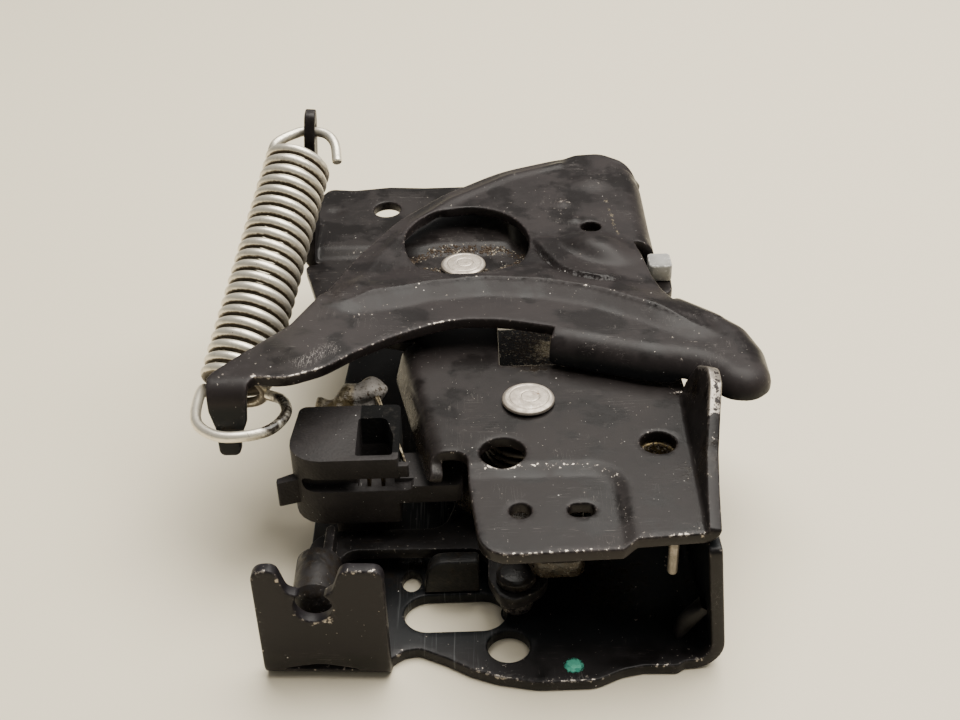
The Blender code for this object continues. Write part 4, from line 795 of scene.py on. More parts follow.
class Look:
    """A material built up in layers. A value may be a number, a colour or a node's output."""

    def __init__(self, name, colour, roughness, metallic=0.0):
        self.material = bpy.data.materials.new(name)
        self.material.use_nodes = True
        self.tree = self.material.node_tree
        self.shader = self.tree.nodes["Principled BSDF"]
        self.colour, self.roughness, self.metallic = colour, roughness, metallic
        self.height = 0.0
        place = self.add("ShaderNodeTexCoord").outputs["Object"]
        scale = self.add("ShaderNodeVectorMath", operation="SCALE")
        self.put(place, scale.inputs[0])
        scale.inputs["Scale"].default_value = 1 / MM
        self.place = scale.outputs["Vector"]

    def add(self, kind, **settings):
        node = self.tree.nodes.new(kind)
        for key, value in settings.items():
            setattr(node, key, value)
        return node

    def put(self, value, socket):
        if isinstance(value, bpy.types.NodeSocket):
            self.tree.links.new(value, socket)
        elif isinstance(value, tuple) and socket.type == "RGBA":
            socket.default_value = (*value, 1)
        else:
            socket.default_value = value

    def calc(self, operation, first, second=0.0):
        node = self.add("ShaderNodeMath", operation=operation)
        self.put(first, node.inputs[0])
        self.put(second, node.inputs[1])
        return node.outputs[0]

    def product(self, *values):
        result = values[0]
        for value in values[1:]:
            result = self.calc("MULTIPLY", result, value)
        return result

    def total(self, *values):
        result = values[0]
        for value in values[1:]:
            result = self.calc("ADD", result, value)
        return result

    def stretched(self, stretch, shift):
        if stretch is None and shift == 0:
            return self.place
        node = self.add("ShaderNodeMapping")
        self.put(self.place, node.inputs["Vector"])
        node.inputs["Location"].default_value = (shift, shift * 0.7, -shift)
        node.inputs["Scale"].default_value = stretch or (1, 1, 1)
        return node.outputs["Vector"]

    def noise(self, scale, detail=4.0, stretch=None, shift=0):
        """Cloudy pattern about 0.5, with the given number of waves per millimetre."""
        node = self.add("ShaderNodeTexNoise")
        self.put(self.stretched(stretch, shift), node.inputs["Vector"])
        node.inputs["Scale"].default_value = scale
        node.inputs["Detail"].default_value = detail
        node.inputs["Roughness"].default_value = 0.55
        return node.outputs[0]

    def cells(self, scale, shift=0):
        """Distance from scattered points, and a number from 0 to 1 that differs from cell to cell."""
        node = self.add("ShaderNodeTexVoronoi")
        self.put(self.stretched(None, shift), node.inputs["Vector"])
        node.inputs["Scale"].default_value = scale
        parts = self.add("ShaderNodeSeparateColor")
        self.put(node.outputs["Color"], parts.inputs[0])
        return node.outputs["Distance"], parts.outputs[0]

    def step(self, value, low, high):
        """0 below low and 1 above high; with low above high it falls."""
        falling = low > high
        node = self.add("ShaderNodeMapRange", interpolation_type="SMOOTHSTEP")
        self.put(value, node.inputs["Value"])
        node.inputs["From Min"].default_value = min(low, high)
        node.inputs["From Max"].default_value = max(low, high)
        node.inputs["To Min"].default_value = 1.0 if falling else 0.0
        node.inputs["To Max"].default_value = 0.0 if falling else 1.0
        return node.outputs["Result"]

    def within(self, lows, highs, soft=0.4):
        """1 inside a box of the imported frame, in millimetres."""
        parts = self.add("ShaderNodeSeparateXYZ")
        self.put(self.place, parts.inputs[0])
        steps = []
        for axis in range(3):
            steps.append(self.step(parts.outputs[axis], lows[axis] - soft, lows[axis]))
            steps.append(self.step(parts.outputs[axis], highs[axis] + soft, highs[axis]))
        return self.product(*steps)

    def read(self, name):
        return self.add("ShaderNodeAttribute", attribute_name=name).outputs["Fac"]

    def blend(self, factor, under, over):
        if isinstance(under, (int, float)) and isinstance(over, (int, float)) and under == over:
            return under
        node = self.add("ShaderNodeMix", data_type="FLOAT")
        self.put(factor, node.inputs[0])
        self.put(under, node.inputs[2])
        self.put(over, node.inputs[3])
        return node.outputs[0]

    def blend_colour(self, factor, under, over):
        node = self.add("ShaderNodeMix", data_type="RGBA")
        self.put(factor, node.inputs[0])
        self.put(under, node.inputs[6])
        self.put(over, node.inputs[7])
        return node.outputs[2]

    def layer(self, mask, colour=None, roughness=None, metallic=None):
        if colour is not None:
            self.colour = self.blend_colour(mask, self.colour, colour)
        if roughness is not None:
            self.roughness = self.blend(mask, self.roughness, roughness)
        if metallic is not None:
            self.metallic = self.blend(mask, self.metallic, metallic)

    def patches(self, scale, low, high, colour, roughness, metallic=None, detail=5.0, shift=0, share=None):
        """Cloudy patches of another finish, thinned by a share."""
        mask = self.step(self.noise(scale, detail, shift=shift), low, high)
        self.layer(mask if share is None else self.product(mask, share), colour, roughness, metallic)

    def marked(self, mark, low, high, *patterns):
        """Where a mark is strong once it is broken up by patterns, each (pattern, weight)."""
        level = self.total(self.read(mark), *(self.product(p, weight) for p, weight in patterns))
        return self.step(level, low, high)

    def raised(self, pattern, amount):
        """Adds relief, in millimetres."""
        self.height = self.total(self.height, self.product(pattern, amount))

    def hairlines(self, stretch, width, patch_low, patch_high, shift=0):
        """Thin scratches that run across the stretch, in patches."""
        lines = self.noise(1.0, 2.0, stretch, shift)
        thin = self.step(self.calc("ABSOLUTE", self.calc("SUBTRACT", lines, 0.5)), width, width * 0.3)
        return self.product(thin, self.step(self.noise(0.09, 3.0, None, shift + 5), patch_low, patch_high))

    def specks(self, scale, share, size, shift=0):
        """Scattered small dots: the share of cells that hold one, and its reach within the cell."""
        gap, number = self.cells(scale, shift)
        return self.product(self.step(gap, size, size * 0.55), self.step(number, 1 - share, 1.002 - share))

    def done(self):
        bump = self.add("ShaderNodeBump")
        bump.inputs["Strength"].default_value = 1.0
        bump.inputs["Distance"].default_value = MM
        self.put(self.height, bump.inputs["Height"])
        self.put(bump.outputs["Normal"], self.shader.inputs["Normal"])
        self.put(self.colour, self.shader.inputs["Base Color"])
        self.put(self.roughness, self.shader.inputs["Roughness"])
        self.put(self.metallic, self.shader.inputs["Metallic"])
        return self.material


def soil(look):
    """Oil, grit, cream grease and a dab of marking paint, where a piece's marks say so."""
    clumps = look.noise(0.55, 5.0, shift=11)
    fine = look.noise(2.2, 3.0, shift=3)
    oil = look.marked("grease", 0.62, 1.05, (clumps, 0.9))
    look.layer(oil, OIL, 0.2, 0.0)
    look.raised(look.product(oil, clumps), 0.10)
    gap, number = look.cells(2.1, 2)
    crumbs = look.marked("grit", 0.98, 1.1, (number, 0.55), (clumps, 0.4))
    look.layer(crumbs, look.blend_colour(look.step(number, 0.90, 0.96), GRIT_BROWN, GRIT_PALE), 0.62, 0.0)
    look.raised(look.product(crumbs, look.step(gap, 0.9, 0.0)), 0.3)
    cream = look.marked("cream", 0.72, 0.98, (clumps, 0.75))
    look.layer(cream, look.blend_colour(look.step(fine, 0.42, 0.62), CREAM, CREAM_DARK), 0.42, 0.0)
    look.raised(look.product(cream, look.total(clumps, look.product(fine, 0.35))), 0.55)
    gap, number = look.cells(0.95, 8)
    paint = look.marked("teal", 0.7, 0.8, (fine, 0.5))
    look.layer(paint, look.blend_colour(number, TEAL, TEAL_PALE), 0.3, 0.0)
    look.layer(look.product(paint, look.step(number, 0.16, 0.06)), TEAL_DARK, 0.4, 0.0)
    look.raised(look.product(paint, look.total(number, fine)), 0.4)


def dusted(look, share):
    """White dust specks and a thin haze."""
    look.layer(look.specks(0.42, share, 0.085), DUST, 0.8, 0.0)
    look.layer(look.product(look.specks(1.1, share * 1.3, 0.11, 7), 0.7), DUST, 0.8, 0.0)


def coat(name, colour, roughness, peel=0.012, dust=0.08):
    """Black dip coating on steel, worn through to the metal on its edges, with lighter edges that are partly
    rubbed paint and partly painted highlight, and painted shade where its marks say.
    """
    look = Look(name, colour, roughness)
    look.shader.inputs["Specular IOR Level"].default_value = COATED_SPECULAR
    look.patches(0.05, 0.40, 0.68, tone(colour, 1.45), roughness + 0.09)
    look.patches(0.35, 0.50, 0.72, tone(colour, 1.35), roughness + 0.05, detail=4.0, shift=21)
    look.patches(0.085, 0.48, 0.60, tone(colour, 0.6), roughness - 0.10, detail=6.0, shift=27)
    look.raised(look.noise(1.5, 3.0), peel)
    look.raised(look.noise(0.22, 3.0, shift=4), 0.05)
    scuff = look.hairlines((0.05, 0.9, 0.9), 0.006, 0.52, 0.66)
    look.layer(look.product(scuff, 0.55), (0.16, 0.145, 0.135), roughness + 0.1)
    scuff = look.hairlines((0.8, 0.07, 0.6), 0.005, 0.55, 0.66, 31)
    look.layer(look.product(scuff, 0.5), (0.18, 0.165, 0.15), roughness + 0.1)
    # Painted shade: near-black bluish colour where the marks put the surface in shade
    look.layer(look.read("deep"), (0.0075, 0.0088, 0.0100), roughness - 0.02)
    streaks = look.step(look.noise(1.0, 3.0, (1.6, 0.05, 0.05), 17), 0.56, 0.70)
    look.layer(look.product(streaks, look.read("brushed")), (0.075, 0.077, 0.078), roughness)
    look.layer(look.read("tinged"), (0.0100, 0.0082, 0.0096), roughness + 0.02)
    scored = look.hairlines((1.9, 0.35, 0.5), 0.03, 0.0, 0.01, 41)
    look.layer(look.product(scored, look.read("scored")), (0.22, 0.20, 0.19), roughness)
    wear, corner = look.read("wear"), look.read("corner")
    level = look.total(look.noise(0.9, 5.0, shift=9), look.product(corner, 0.05), look.product(wear, 0.24),
                       look.product(wear, corner, 0.30))
    # Lighter, glossier paint on edges and along the wear marks: partly rubbed paint, partly painted highlight
    # and sheen along edges, steps and crests
    lightened_edges = look.total(look.product(corner, 0.6), look.product(wear, 0.5))
    look.layer(look.product(look.step(level, 0.54, 0.70), lightened_edges), tone(colour, 4.0), roughness - 0.08)
    bare = look.step(level, 0.70, 0.74)
    look.layer(bare, look.blend_colour(look.noise(0.8, 3.0), STEEL, (0.26, 0.22, 0.18)), 0.38, 0.9)
    look.raised(bare, -0.03)
    soil(look)
    dusted(look, dust)
    return look.done()


def clotted(name):
    """Old grease: cream lumps, olive film and brown grit."""
    look = Look(name, (0.10, 0.075, 0.035), 0.34)
    lump = look.noise(0.28, 5.0, shift=3)
    look.layer(look.step(lump, 0.47, 0.56), (0.34, 0.285, 0.19), 0.45)
    look.layer(look.step(look.read("dusty"), 0.3, 0.7), (0.27, 0.25, 0.225), 0.75)
    look.patches(0.8, 0.55, 0.64, (0.055, 0.036, 0.018), 0.3, shift=9)
    look.layer(look.specks(1.4, 0.2, 0.2, 4), (0.03, 0.02, 0.012), 0.6)
    look.layer(look.specks(0.9, 0.12, 0.12, 6), DUST, 0.8)
    look.raised(lump, 0.8)
    look.raised(look.noise(1.3, 5.0, shift=12), 0.35)
    return look.done()


def zinc(name, colour=(0.55, 0.53, 0.49), roughness=0.36, dirt=0.5):
    """Plated metal, mottled, with dirt and a little rust."""
    look = Look(name, colour, roughness, 0.95)
    mottle = look.noise(0.45, 6.0)
    look.layer(look.step(mottle, 0.40, 0.66), tone(colour, 0.72), roughness + 0.12)
    look.patches(1.4, 0.56, 0.70, (0.16, 0.12, 0.08), 0.6, 0.2, shift=8, share=dirt)
    scratches = look.hairlines((0.5, 0.06, 0.5), 0.008, 0.45, 0.6, 14)
    look.layer(look.product(scratches, 0.6), (0.80, 0.78, 0.74), roughness - 0.1)
    look.layer(look.specks(0.9, 0.14, 0.13, 2), (0.10, 0.08, 0.06), 0.7, 0.1)
    look.raised(look.noise(3.0, 3.0), 0.006)
    look.raised(mottle, 0.03)
    look.patches(1.8, 0.50, 0.60, (0.20, 0.075, 0.025), 0.75, 0.0, 4.0, 6, look.read("rust"))
    soil(look)
    return look.done()


def wire(name, colour=(0.90, 0.84, 0.70), roughness=0.36):
    """Drawn and plated wire, with grease and painted shade, dark brown, between its coils, inside them and
    underneath.
    """
    look = Look(name, colour, roughness, 0.78)
    look.patches(0.6, 0.45, 0.70, tone(colour, 0.80), roughness + 0.10)
    look.raised(look.noise(2.2, 4.0), 0.012)
    # Grease and painted shade: dark brown where the marks say the wire is shaded
    grease_and_shade = look.marked("shaded", 0.74, 1.14, (look.noise(1.1, 5.0, shift=5), 0.6))
    look.layer(grease_and_shade, (0.10, 0.078, 0.052), 0.5, 0.3)
    look.layer(look.specks(1.0, 0.22, 0.16, 3), (0.16, 0.11, 0.07), 0.6, 0.2)
    rust = look.marked("rust", 0.78, 1.05, (look.noise(0.9, 5.0, shift=12), 0.8))
    look.layer(rust, (0.13, 0.075, 0.04), 0.7, 0.1)
    soil(look)
    return look.done()


def moulded(name, colour, roughness=0.56, grain=0.05, shadow=None):
    """Moulded plastic with a fine leather grain, and painted shade, near black, inside a box where it is
    hollow.
    """
    look = Look(name, colour, roughness)
    look.shader.inputs["Specular IOR Level"].default_value = COATED_SPECULAR
    look.raised(look.step(look.cells(1.35)[0], 0.0, 0.8), -grain)
    look.raised(look.noise(2.6, 3.0), grain * 0.35)
    look.patches(0.12, 0.45, 0.68, tone(colour, 1.35), roughness + 0.06)
    look.patches(0.9, 0.57, 0.68, tone(colour, 2.0), roughness + 0.1, shift=6, share=0.5)
    level = look.total(look.noise(1.2, 5.0, shift=9), look.product(look.read("corner"), 0.12))
    lightened_edges = look.product(look.step(level, 0.56, 0.72), look.read("corner"))
    look.layer(lightened_edges, tone(colour, 2.2), roughness)
    if shadow:
        look.layer(look.within(*shadow), (0.0015, 0.0015, 0.0015), 0.95)
    soil(look)
    dusted(look, 0.16)
    return look.done()


def studio_floor():
    look = Look("floor", (0.87, 0.785, 0.60), 0.5)
    look.patches(0.004, 0.4, 0.65, (0.855, 0.77, 0.585), 0.55, detail=4.0)
    look.raised(look.noise(0.02, 3.0), 0.10)
    return look.done()


# Where each sheet is worn, greasy or marked, and where it gets painted shade and painted sheen

def base_marks(blank):
    front, face = BASE_FRONT, BRACKET_FRONT
    key_x, key_z = KEYHOLE
    wear = strokes(
        blank,
        spots(blank, (-48.5, face + 1, 33.0, 4, 0.42), (-25, face, 33.2, 3.6, 0.34),
              (-29, face, 33.2, 3, 0.3), (-44.5, face + 1, 30, 2.6, 0.36), (4.6, front + 5, 3, 7, 0.15),
              (47, front, 4, 6, 0.16)),
        (0.9, 1.6, (key_x - 4, face, key_z - 2.6), (key_x, face, key_z - 4.6),
         (key_x + 3.6, face, key_z - 3.2)),
        (0.30, 1.8, (-20, front + 4, 3), (-4, front - 1.6, 3), (4, front - 4.6, 3)),
        (0.22, 1.8, (4, front - 4.6, 3), (24, front - 6, 3), (45, front - 1, 3)))
    # Painted shade: the base plate under the deck, back from its front edge, and the wall's inner face
    behind = smooth(front + 1, front + 9, blank.y) * smooth(-10, -16, blank.y) * smooth(24, 12, blank.z)
    by_wall = smooth(46, 48, blank.x) * smooth(front + 1, front + 2.4, blank.y)
    streaked = smooth(front - 4, front + 2, blank.y) * smooth(-24, -18, blank.x) * smooth(6, -4, blank.x)
    return {"wear": wear,
            "grease": spots(blank, (28, -58, 3, 26, 0.42), (-20, -50, 3, 20, 0.35), (46, -60, 8, 12, 0.45),
                            (13, 0, 3, 22, 0.5)),
            "grit": spots(blank, (46, -52, 4, 7, 0.45), (-10, -52, 3, 14, 0.3), (18, 46, 3, 26, 0.75)),
            "cream": spots(blank, (50.5, -52, 5, 3, 0.4), (22, 44, 3, 15, 0.62)),
            "teal": spots(blank, (19.2, front - 1.4, 3, 4.6, 0.95)),
            "deep": np.maximum(behind * smooth(-30, -18, blank.x), by_wall),
            "tinged": smooth(7, 10, blank.z) * smooth(-20, -22, blank.x),
            "brushed": streaked}


def deck_marks(blank):
    wear = strokes(
        blank,
        spots(blank, (46.9, -27.2, 38, 5, 0.4), (36, -21.8, 38, 4, 0.35), (-50, 80, 40, 4, 0.3),
              (-45, 48, 80, 3, 0.3)),
        (0.95, 4.2, (52.6, -53, 51.0), (53.4, -47, 53.6), (53.6, -41, 53.8), (53.0, -36, 50.6)),
        (0.6, 2.5, (47.6, -31.0, 41), (47.6, -31, 48)),
        # Painted sheen along the dropped panel's rear and right steps, carried by the wear mark
        (0.58, 1.6, (-2, -56.4, 38), (24, -56.4, 38), (28.8, -58, 38), (30.4, -61, 37.6)),
        (0.5, 0.9, (30.6, -60, 37.6), (30.8, -82, 37.4)),
        (0.30, 1.6, (-1, -84.5, 37), (29, -83.7, 37), (34, -81, 38), (48, -81, 38)))
    grease = strokes(
        blank,
        spots(blank, (4.6, -51.2, 36.5, 7.6, 0.55), (41.1, -49.3, 36.5, 6.5, 0.6), (13, -16, 37, 9, 0.45),
              (48.5, -62, 43, 13, 0.42), (48.5, -38, 45, 10, 0.42), (13.5, 3, 36.5, 14, 0.5),
              (-4, 35, 38, 13, 0.35), (43, -24, 38, 6, 0.6)),
        (0.55, 8.5, (-26.5, -3, 33), (-20.5, -25, 32), (-13, -49, 31)))
    grit = strokes(
        blank,
        spots(blank, (12, 8, 36.5, 11, 0.5), (48.5, -36, 44, 6, 0.35), (41.1, -49.3, 36, 5.4, 0.5),
              (20, -15.5, 36.5, 4, 0.55), (44, -24, 38, 3, 0.4)),
        (0.75, 3.4, (-19.5, 39.2, 38), (-12, 43.6, 39), (-2, 44.2, 39), (8, 42.6, 39), (14.8, 39.5, 38)),
        (0.65, 3.2, (14.8, 39.5, 38), (6.5, 31.9, 38), (-17.9, 34.5, 38)))
    cream = strokes(
        blank,
        spots(blank, (7, -14.8, 36.5, 2.6, 0.45), (47.8, -41, 45, 3, 0.45), (48, -36, 42, 2.4, 0.5),
              (-50, 26, 38, 5, 0.2)),
        (0.62, 3.0, (-26.3, -30.5, 36), (-20.9, -42.9, 35), (-18.4, -48, 34.6)),
        (0.5, 2.4, (-25.5, -14, 33), (-22, -24, 31), (-18, -38, 30)))
    return {"wear": wear, "grease": grease, "grit": grit, "cream": cream}


def lever_marks(blank):
    wear = strokes(
        blank,
        spots(blank, (26, 56, 47, 3.4, 0.75), (28.8, 45.6, 48, 3.2, 0.7), (24.5, 51, 47, 4.5, 0.35),
              (49.5, -24, 44, 5, 0.6), (53, -22.5, 47, 4, 0.4), (21, 66, 47, 3.5, 0.35)),
        (0.52, 2.6, (-31.5, -7.5, 49.5), (-27, -4, 49.5), (-20.3, -1.4, 49.6)),
        (0.30, 1.6, (-15, 0.6, 49.4), (5.8, 5.1, 49.6), (21.5, 1.6, 49.5), (40, -9, 49)),
        (0.55, 1.1, (62.7, -22.2, 48.8), (67.0, -25.4, 46.8)),
        (0.30, 1.4, (-62, -36, 51), (-46, -13, 48.5), (-33, 26, 46), (8, 80.6, 46)),
        (0.40, 1.3, (-63, -35, 51), (-53.6, -36, 51), (-46, -37.0, 51), (-37.5, -31.8, 50.6),
         (-29.7, -22.4, 49.4), (-20, -13, 48), (-7.4, -6.6, 47.4)),
        # Painted highlight along the bead's crest, carried by the wear mark
        (0.34, 1.0, (-27, 2.7, 49.4), (-14, 8, 49.6), (2, 10, 49.7), (18, 7.8, 49.6), (32, 2.4, 49.6),
         (45, -6, 49.4)))
    grease = strokes(
        blank, spots(blank, (33, 41, 48, 5, 0.6), (51, 3, 46, 7, 0.4), (-60, -41, 40, 7, 0.35)),
        (0.4, 2.2, (-42, -38.5, 50), (-20, -14, 46), (5, -8, 45), (18, -12, 45)))
    cream = strokes(
        blank,
        spots(blank, (46.1, 9.8, 46, 2.8, 0.5), (50, 4, 46, 3.2, 0.5), (53.5, -1, 45, 2.8, 0.45),
              (33, 41, 47.5, 3.2, 0.3)),
        (0.42, 1.7, (38.7, 58.4, 47), (39.6, 46, 47), (40.2, 35.2, 47)),
        (0.42, 1.8, (46.6, 71.4, 44), (47.0, 63, 44), (47.2, 54.6, 44)))
    # Painted shade: the hook tab that hangs down, and the low edge of the turned-down front flange
    tab = smooth(46.5, 44.5, blank.z) * smooth(-54, -56, blank.x)
    return {"wear": wear, "grease": grease,
            "grit": spots(blank, (33, 41, 46.5, 3.6, 0.55), (-45, -35, 48.5, 4, 0.2)), "cream": cream,
            "deep": np.maximum(tab, 0.9 * smooth(43.6, 41.6, blank.z) * smooth(6, 0, blank.y)),
            "scored": near(blank, [(-36.6, -23.5, 51), (-43.2, -30.6, 51)], 3.4)}


# Pieces turned on a lathe

RIVET_HEAD_R = 6.5
RIVET_HEAD_H = 1.3
RIVET_BARREL_R = 6.0
RIVET_SHANK_R = 4.5
RIVET_TAIL_R = 4.0
HEAD_CROWN = 0.2
CROWN_SHIFT = (0.7, 0.35)
LOWER_SPACER, UPPER_SPACER = (3.3, 15.6), (21.4, 34.7)
LATHE_SIDES = 96


def lathe(name, profile, axis, marks=None, count=LATHE_SIDES):
    """Turns a closed outline of (radius, height[, fillet]) corners that starts and ends on the axis
    or misses it."""
    outline = [(max(r, 0.0), z) for r, z in divided(rounded(profile, 0.25), 1.2)]
    ring = min(r for r, _ in outline) > 0.01
    points, faces, rows = [], [], []
    for r, z in outline:
        if r < 0.01:
            rows.append([len(points)])
            points.append((axis[0], axis[1], z))
            continue
        rows.append(list(range(len(points), len(points) + count)))
        for step in range(count):
            angle = 2 * math.pi * step / count
            points.append((axis[0] + r * math.cos(angle), axis[1] + r * math.sin(angle), z))
    for first, second in [*zip(rows, rows[1:]), *([(rows[-1], rows[0])] if ring else [])]:
        if len(first) == 1 and len(second) == 1:
            continue
        for step in range(count):
            ahead = (step + 1) % count
            corners = [first[step % len(first)], first[ahead % len(first)],
                       second[ahead % len(second)], second[step % len(second)]]
            faces.append(tuple(dict.fromkeys(corners)))
    found = marks(cloud_of(points)) if marks else {"corner": np.zeros(len(points))}
    return mesh_object(name, points, faces, found, 40)


def headed_rivet(name, axis, marks):
    """Stepped rivet whose flat head has faint rings from the riveting tool, a little off centre."""
    head = DECK_TOP + SEAT_GAP
    high = head + RIVET_HEAD_H
    profile = [(0, SEAT_GAP), (RIVET_TAIL_R, SEAT_GAP, 0.3), (RIVET_TAIL_R, SHEET + SEAT_GAP),
               (RIVET_BARREL_R, SHEET + SEAT_GAP, 0.2), (RIVET_BARREL_R, DECK_UNDER - SEAT_GAP, 0.2),
               (RIVET_SHANK_R, DECK_UNDER - SEAT_GAP), (RIVET_SHANK_R, head),
               (RIVET_HEAD_R - 0.2, head, 0.2), (RIVET_HEAD_R, head + 0.4, 0.3),
               (RIVET_HEAD_R - 0.15, high - 0.35, 0.4), (RIVET_HEAD_R - 0.8, high, 0.5),
               (5.1, high + 0.03, 0.2), (4.85, high - 0.09, 0.2), (4.6, high + 0.05, 0.2),
               (2.6, high + 0.10, 0.3), (2.3, high, 0.2), (2.0, high + 0.11, 0.2), (0.5, high + 0.12),
               (0, high + 0.06)]
    item = lathe(name, profile, axis, marks)
    for vert in item.data.vertices:
        if vert.co.z / MM - high + HEAD_CROWN > 0:
            away = math.hypot(vert.co.x / MM + CENTRE[0] - axis[0], vert.co.y / MM + CENTRE[1] - axis[1])
            reach = 1 - min(1.0, away / RIVET_HEAD_R)
            vert.co.x += CROWN_SHIFT[0] * reach * MM
            vert.co.y += CROWN_SHIFT[1] * reach * MM
    return item


def claw_rivet_marks(cloud):
    return {"rust": spots(cloud, (13.2, -30.7, 39.7, 1.6, 1.0), (9.0, -33.8, 39.7, 0.8, 0.7)),
            "grease": 0.8 * smooth(39.0, 38.2, cloud.z) * (cloud.z > 37),
            "grit": 0.2 * smooth(38.9, 38.2, cloud.z) * (cloud.z > 37)}


def pawl_rivet_marks(cloud):
    x, y = PAWL_AXIS
    return {"rust": spots(cloud, (x - 4.6, y + 1, 39.6, 1.0, 0.7), (x + 2.5, y - 3, 39.6, 0.7, 0.6)),
            "grease": 0.8 * smooth(39.1, 38.2, cloud.z) * (cloud.z > 37),
            "grit": 0.45 * smooth(39.0, 38.2, cloud.z) * (cloud.z > 37)}


def spacer(name, axis, low, high):
    inner, outer = RIVET_BARREL_R + 0.4, RIVET_BARREL_R + 3.0
    return lathe(name, [(inner, low), (outer, low, 0.4), (outer, high, 0.4), (inner, high)], axis)


# Springs

WIRE_R = 1.35
COIL_R = 7.75
COIL_TURNS = 21
SPRING_LOW = Vector((-62.0, -24.0, 38.2))
SPRING_HIGH = Vector((-48.2, 36.5, 71.5))
HOOK_LOOP_Z = 40.0
WIRE_SIDES = 14
TORSION_WIRE_R, TORSION_SIDES = 0.8, 12
TORSION_TURNS, TORSION_STEPS = 3, 48
TORSION_PITCH = 2.3
TORSION_LOW = 22.6
TORSION_LEG = 9.0


def curve_through(points, per_span):
    """A smooth path through the points."""
    points = [Vector(p) for p in points]
    padded = [points[0] * 2 - points[1], *points, points[-1] * 2 - points[-2]]
    path = []
    for index in range(1, len(padded) - 2):
        a, b, c, d = padded[index - 1:index + 3]
        for step in range(per_span):
            t = step / per_span
            path.append(0.5 * (2 * b + (c - a) * t + (2 * a - 5 * b + 4 * c - d) * t ** 2
                               + (3 * b - a - 3 * c + d) * t ** 3))
    path.append(points[-1])
    return path


def tube(name, path, radius, sides, marks):
    """Round wire along a path, with its cut ends rounded over a little."""
    points = [Vector(p) for p in path]
    normal = None
    rings = []
    spokes = []
    last = len(points) - 1
    for index, point in enumerate(points):
        ahead = (points[min(index + 1, last)] - points[max(index - 1, 0)]).normalized()
        normal = ahead.orthogonal() if normal is None else normal
        normal = (normal - ahead * normal.dot(ahead)).normalized()
        across = ahead.cross(normal)
        around = [normal * math.cos(a) + across * math.sin(a)
                  for a in (2 * math.pi * side / sides for side in range(sides))]
        if index in (0, last):
            out = ahead * (-1 if index == 0 else 1)
            ends = [(0.82, 0.0), (1.0, -0.22)]
            for share, shift in (ends if index == 0 else ends[::-1]):
                rings.append([point + out * shift * radius + s * radius * share for s in around])
                spokes.append(around)
        else:
            rings.append([point + s * radius for s in around])
            spokes.append(around)
    verts = [p for ring in rings for p in ring]
    cloud = cloud_of(verts)
    cloud.spokes = np.array([tuple(s) for ring in spokes for s in ring])
    return mesh_object(name, verts, ring_faces(len(rings), sides), marks(cloud), 50)


def tension_spring(per_turn=40, per_span=12):
    """Coils with a loop round the lever's hook and an open hook through the plate's tab."""
    line = (SPRING_HIGH - SPRING_LOW).normalized()
    right = line.cross(Vector((0, 0, 1))).normalized()
    up = right.cross(line).normalized()
    length = (SPRING_HIGH - SPRING_LOW).length

    def coil(turns):
        angle = math.pi + 2 * math.pi * turns
        middle = SPRING_LOW + line * (length * turns / COIL_TURNS)
        return middle + right * (COIL_R * math.cos(angle)) + up * (COIL_R * math.sin(angle))

    low = HOOK_LOOP_Z
    ninth = 1 / 9
    loop = curve_through([(-53.0, -26.0, low - 1.6), (-48.8, -30.0, low - 0.6), (-47.2, -36.5, low),
                          (-50.2, -42.6, low), (-56.0, -44.9, low), (-62.2, -44.7, low),
                          (-67.4, -40.6, low), (-69.4, -34.0, low - 0.3), coil(0), coil(ninth)], per_span)
    hole_y, hole_z = ANCHOR_HOLE
    lean = math.radians(TAB_LEAN - 90)
    above_bend = hole_z - DECK_TOP - REAR_RISE - TAB_BEND_R
    tab_x = TAB_FOLD_X - TAB_BEND_R - SHEET / 2 + math.sin(lean) * above_bend
    rear = curve_through([coil(COIL_TURNS - ninth), coil(COIL_TURNS), (-54.6, 41.5, 75.2),
                          (tab_x - 3.6, hole_y - 0.8, hole_z), (tab_x, hole_y, hole_z),
                          (tab_x + 4.4, hole_y - 1.5, hole_z - 0.2), (-38.4, 42.0, 74.6),
                          (-37.6, 37.0, 71.2)], per_span)
    coils = [coil(step / per_turn) for step in range(COIL_TURNS * per_turn)]
    path = [*loop[:-(per_span + 1)], *coils, *rear[per_span:]]

    def marks(cloud):
        along = cloud.spokes @ np.array(line)
        middle = np.stack([cloud.x, cloud.y, cloud.z], 1) - cloud.spokes * WIRE_R
        offset = middle - np.array(SPRING_LOW)
        axial = offset @ np.array(line)
        radial = offset - axial[:, None] * np.array(line)
        inward = -np.sum(cloud.spokes * radial, 1) / np.maximum(np.linalg.norm(radial, axis=1), 1e-6)
        coiled = (axial > -1.5) & (axial < length + 1.5)
        # Painted shade, with grease: darker where the wire faces its neighbouring coils and the inside of the
        # coil, and on its underside
        shaded = np.maximum(smooth(0.45, 0.98, np.abs(along)), smooth(0.1, 0.9, inward)) * coiled
        under = 0.5 * smooth(0.2, 0.9, -cloud.spokes[:, 2])
        loop_right = smooth(-60, -54, cloud.x) * smooth(-24, -28, cloud.y)
        return {"shaded": np.maximum(0.9 * shaded, under), "rust": 0.42 * loop_right,
                "grease": 0.75 * near(cloud, [(-50, -31, 39.5), (-47.2, -36.5, 40), (-50.5, -42.4, 40)], 5.0)}

    return tube("tension_spring_wire", path, WIRE_R, WIRE_SIDES, marks)


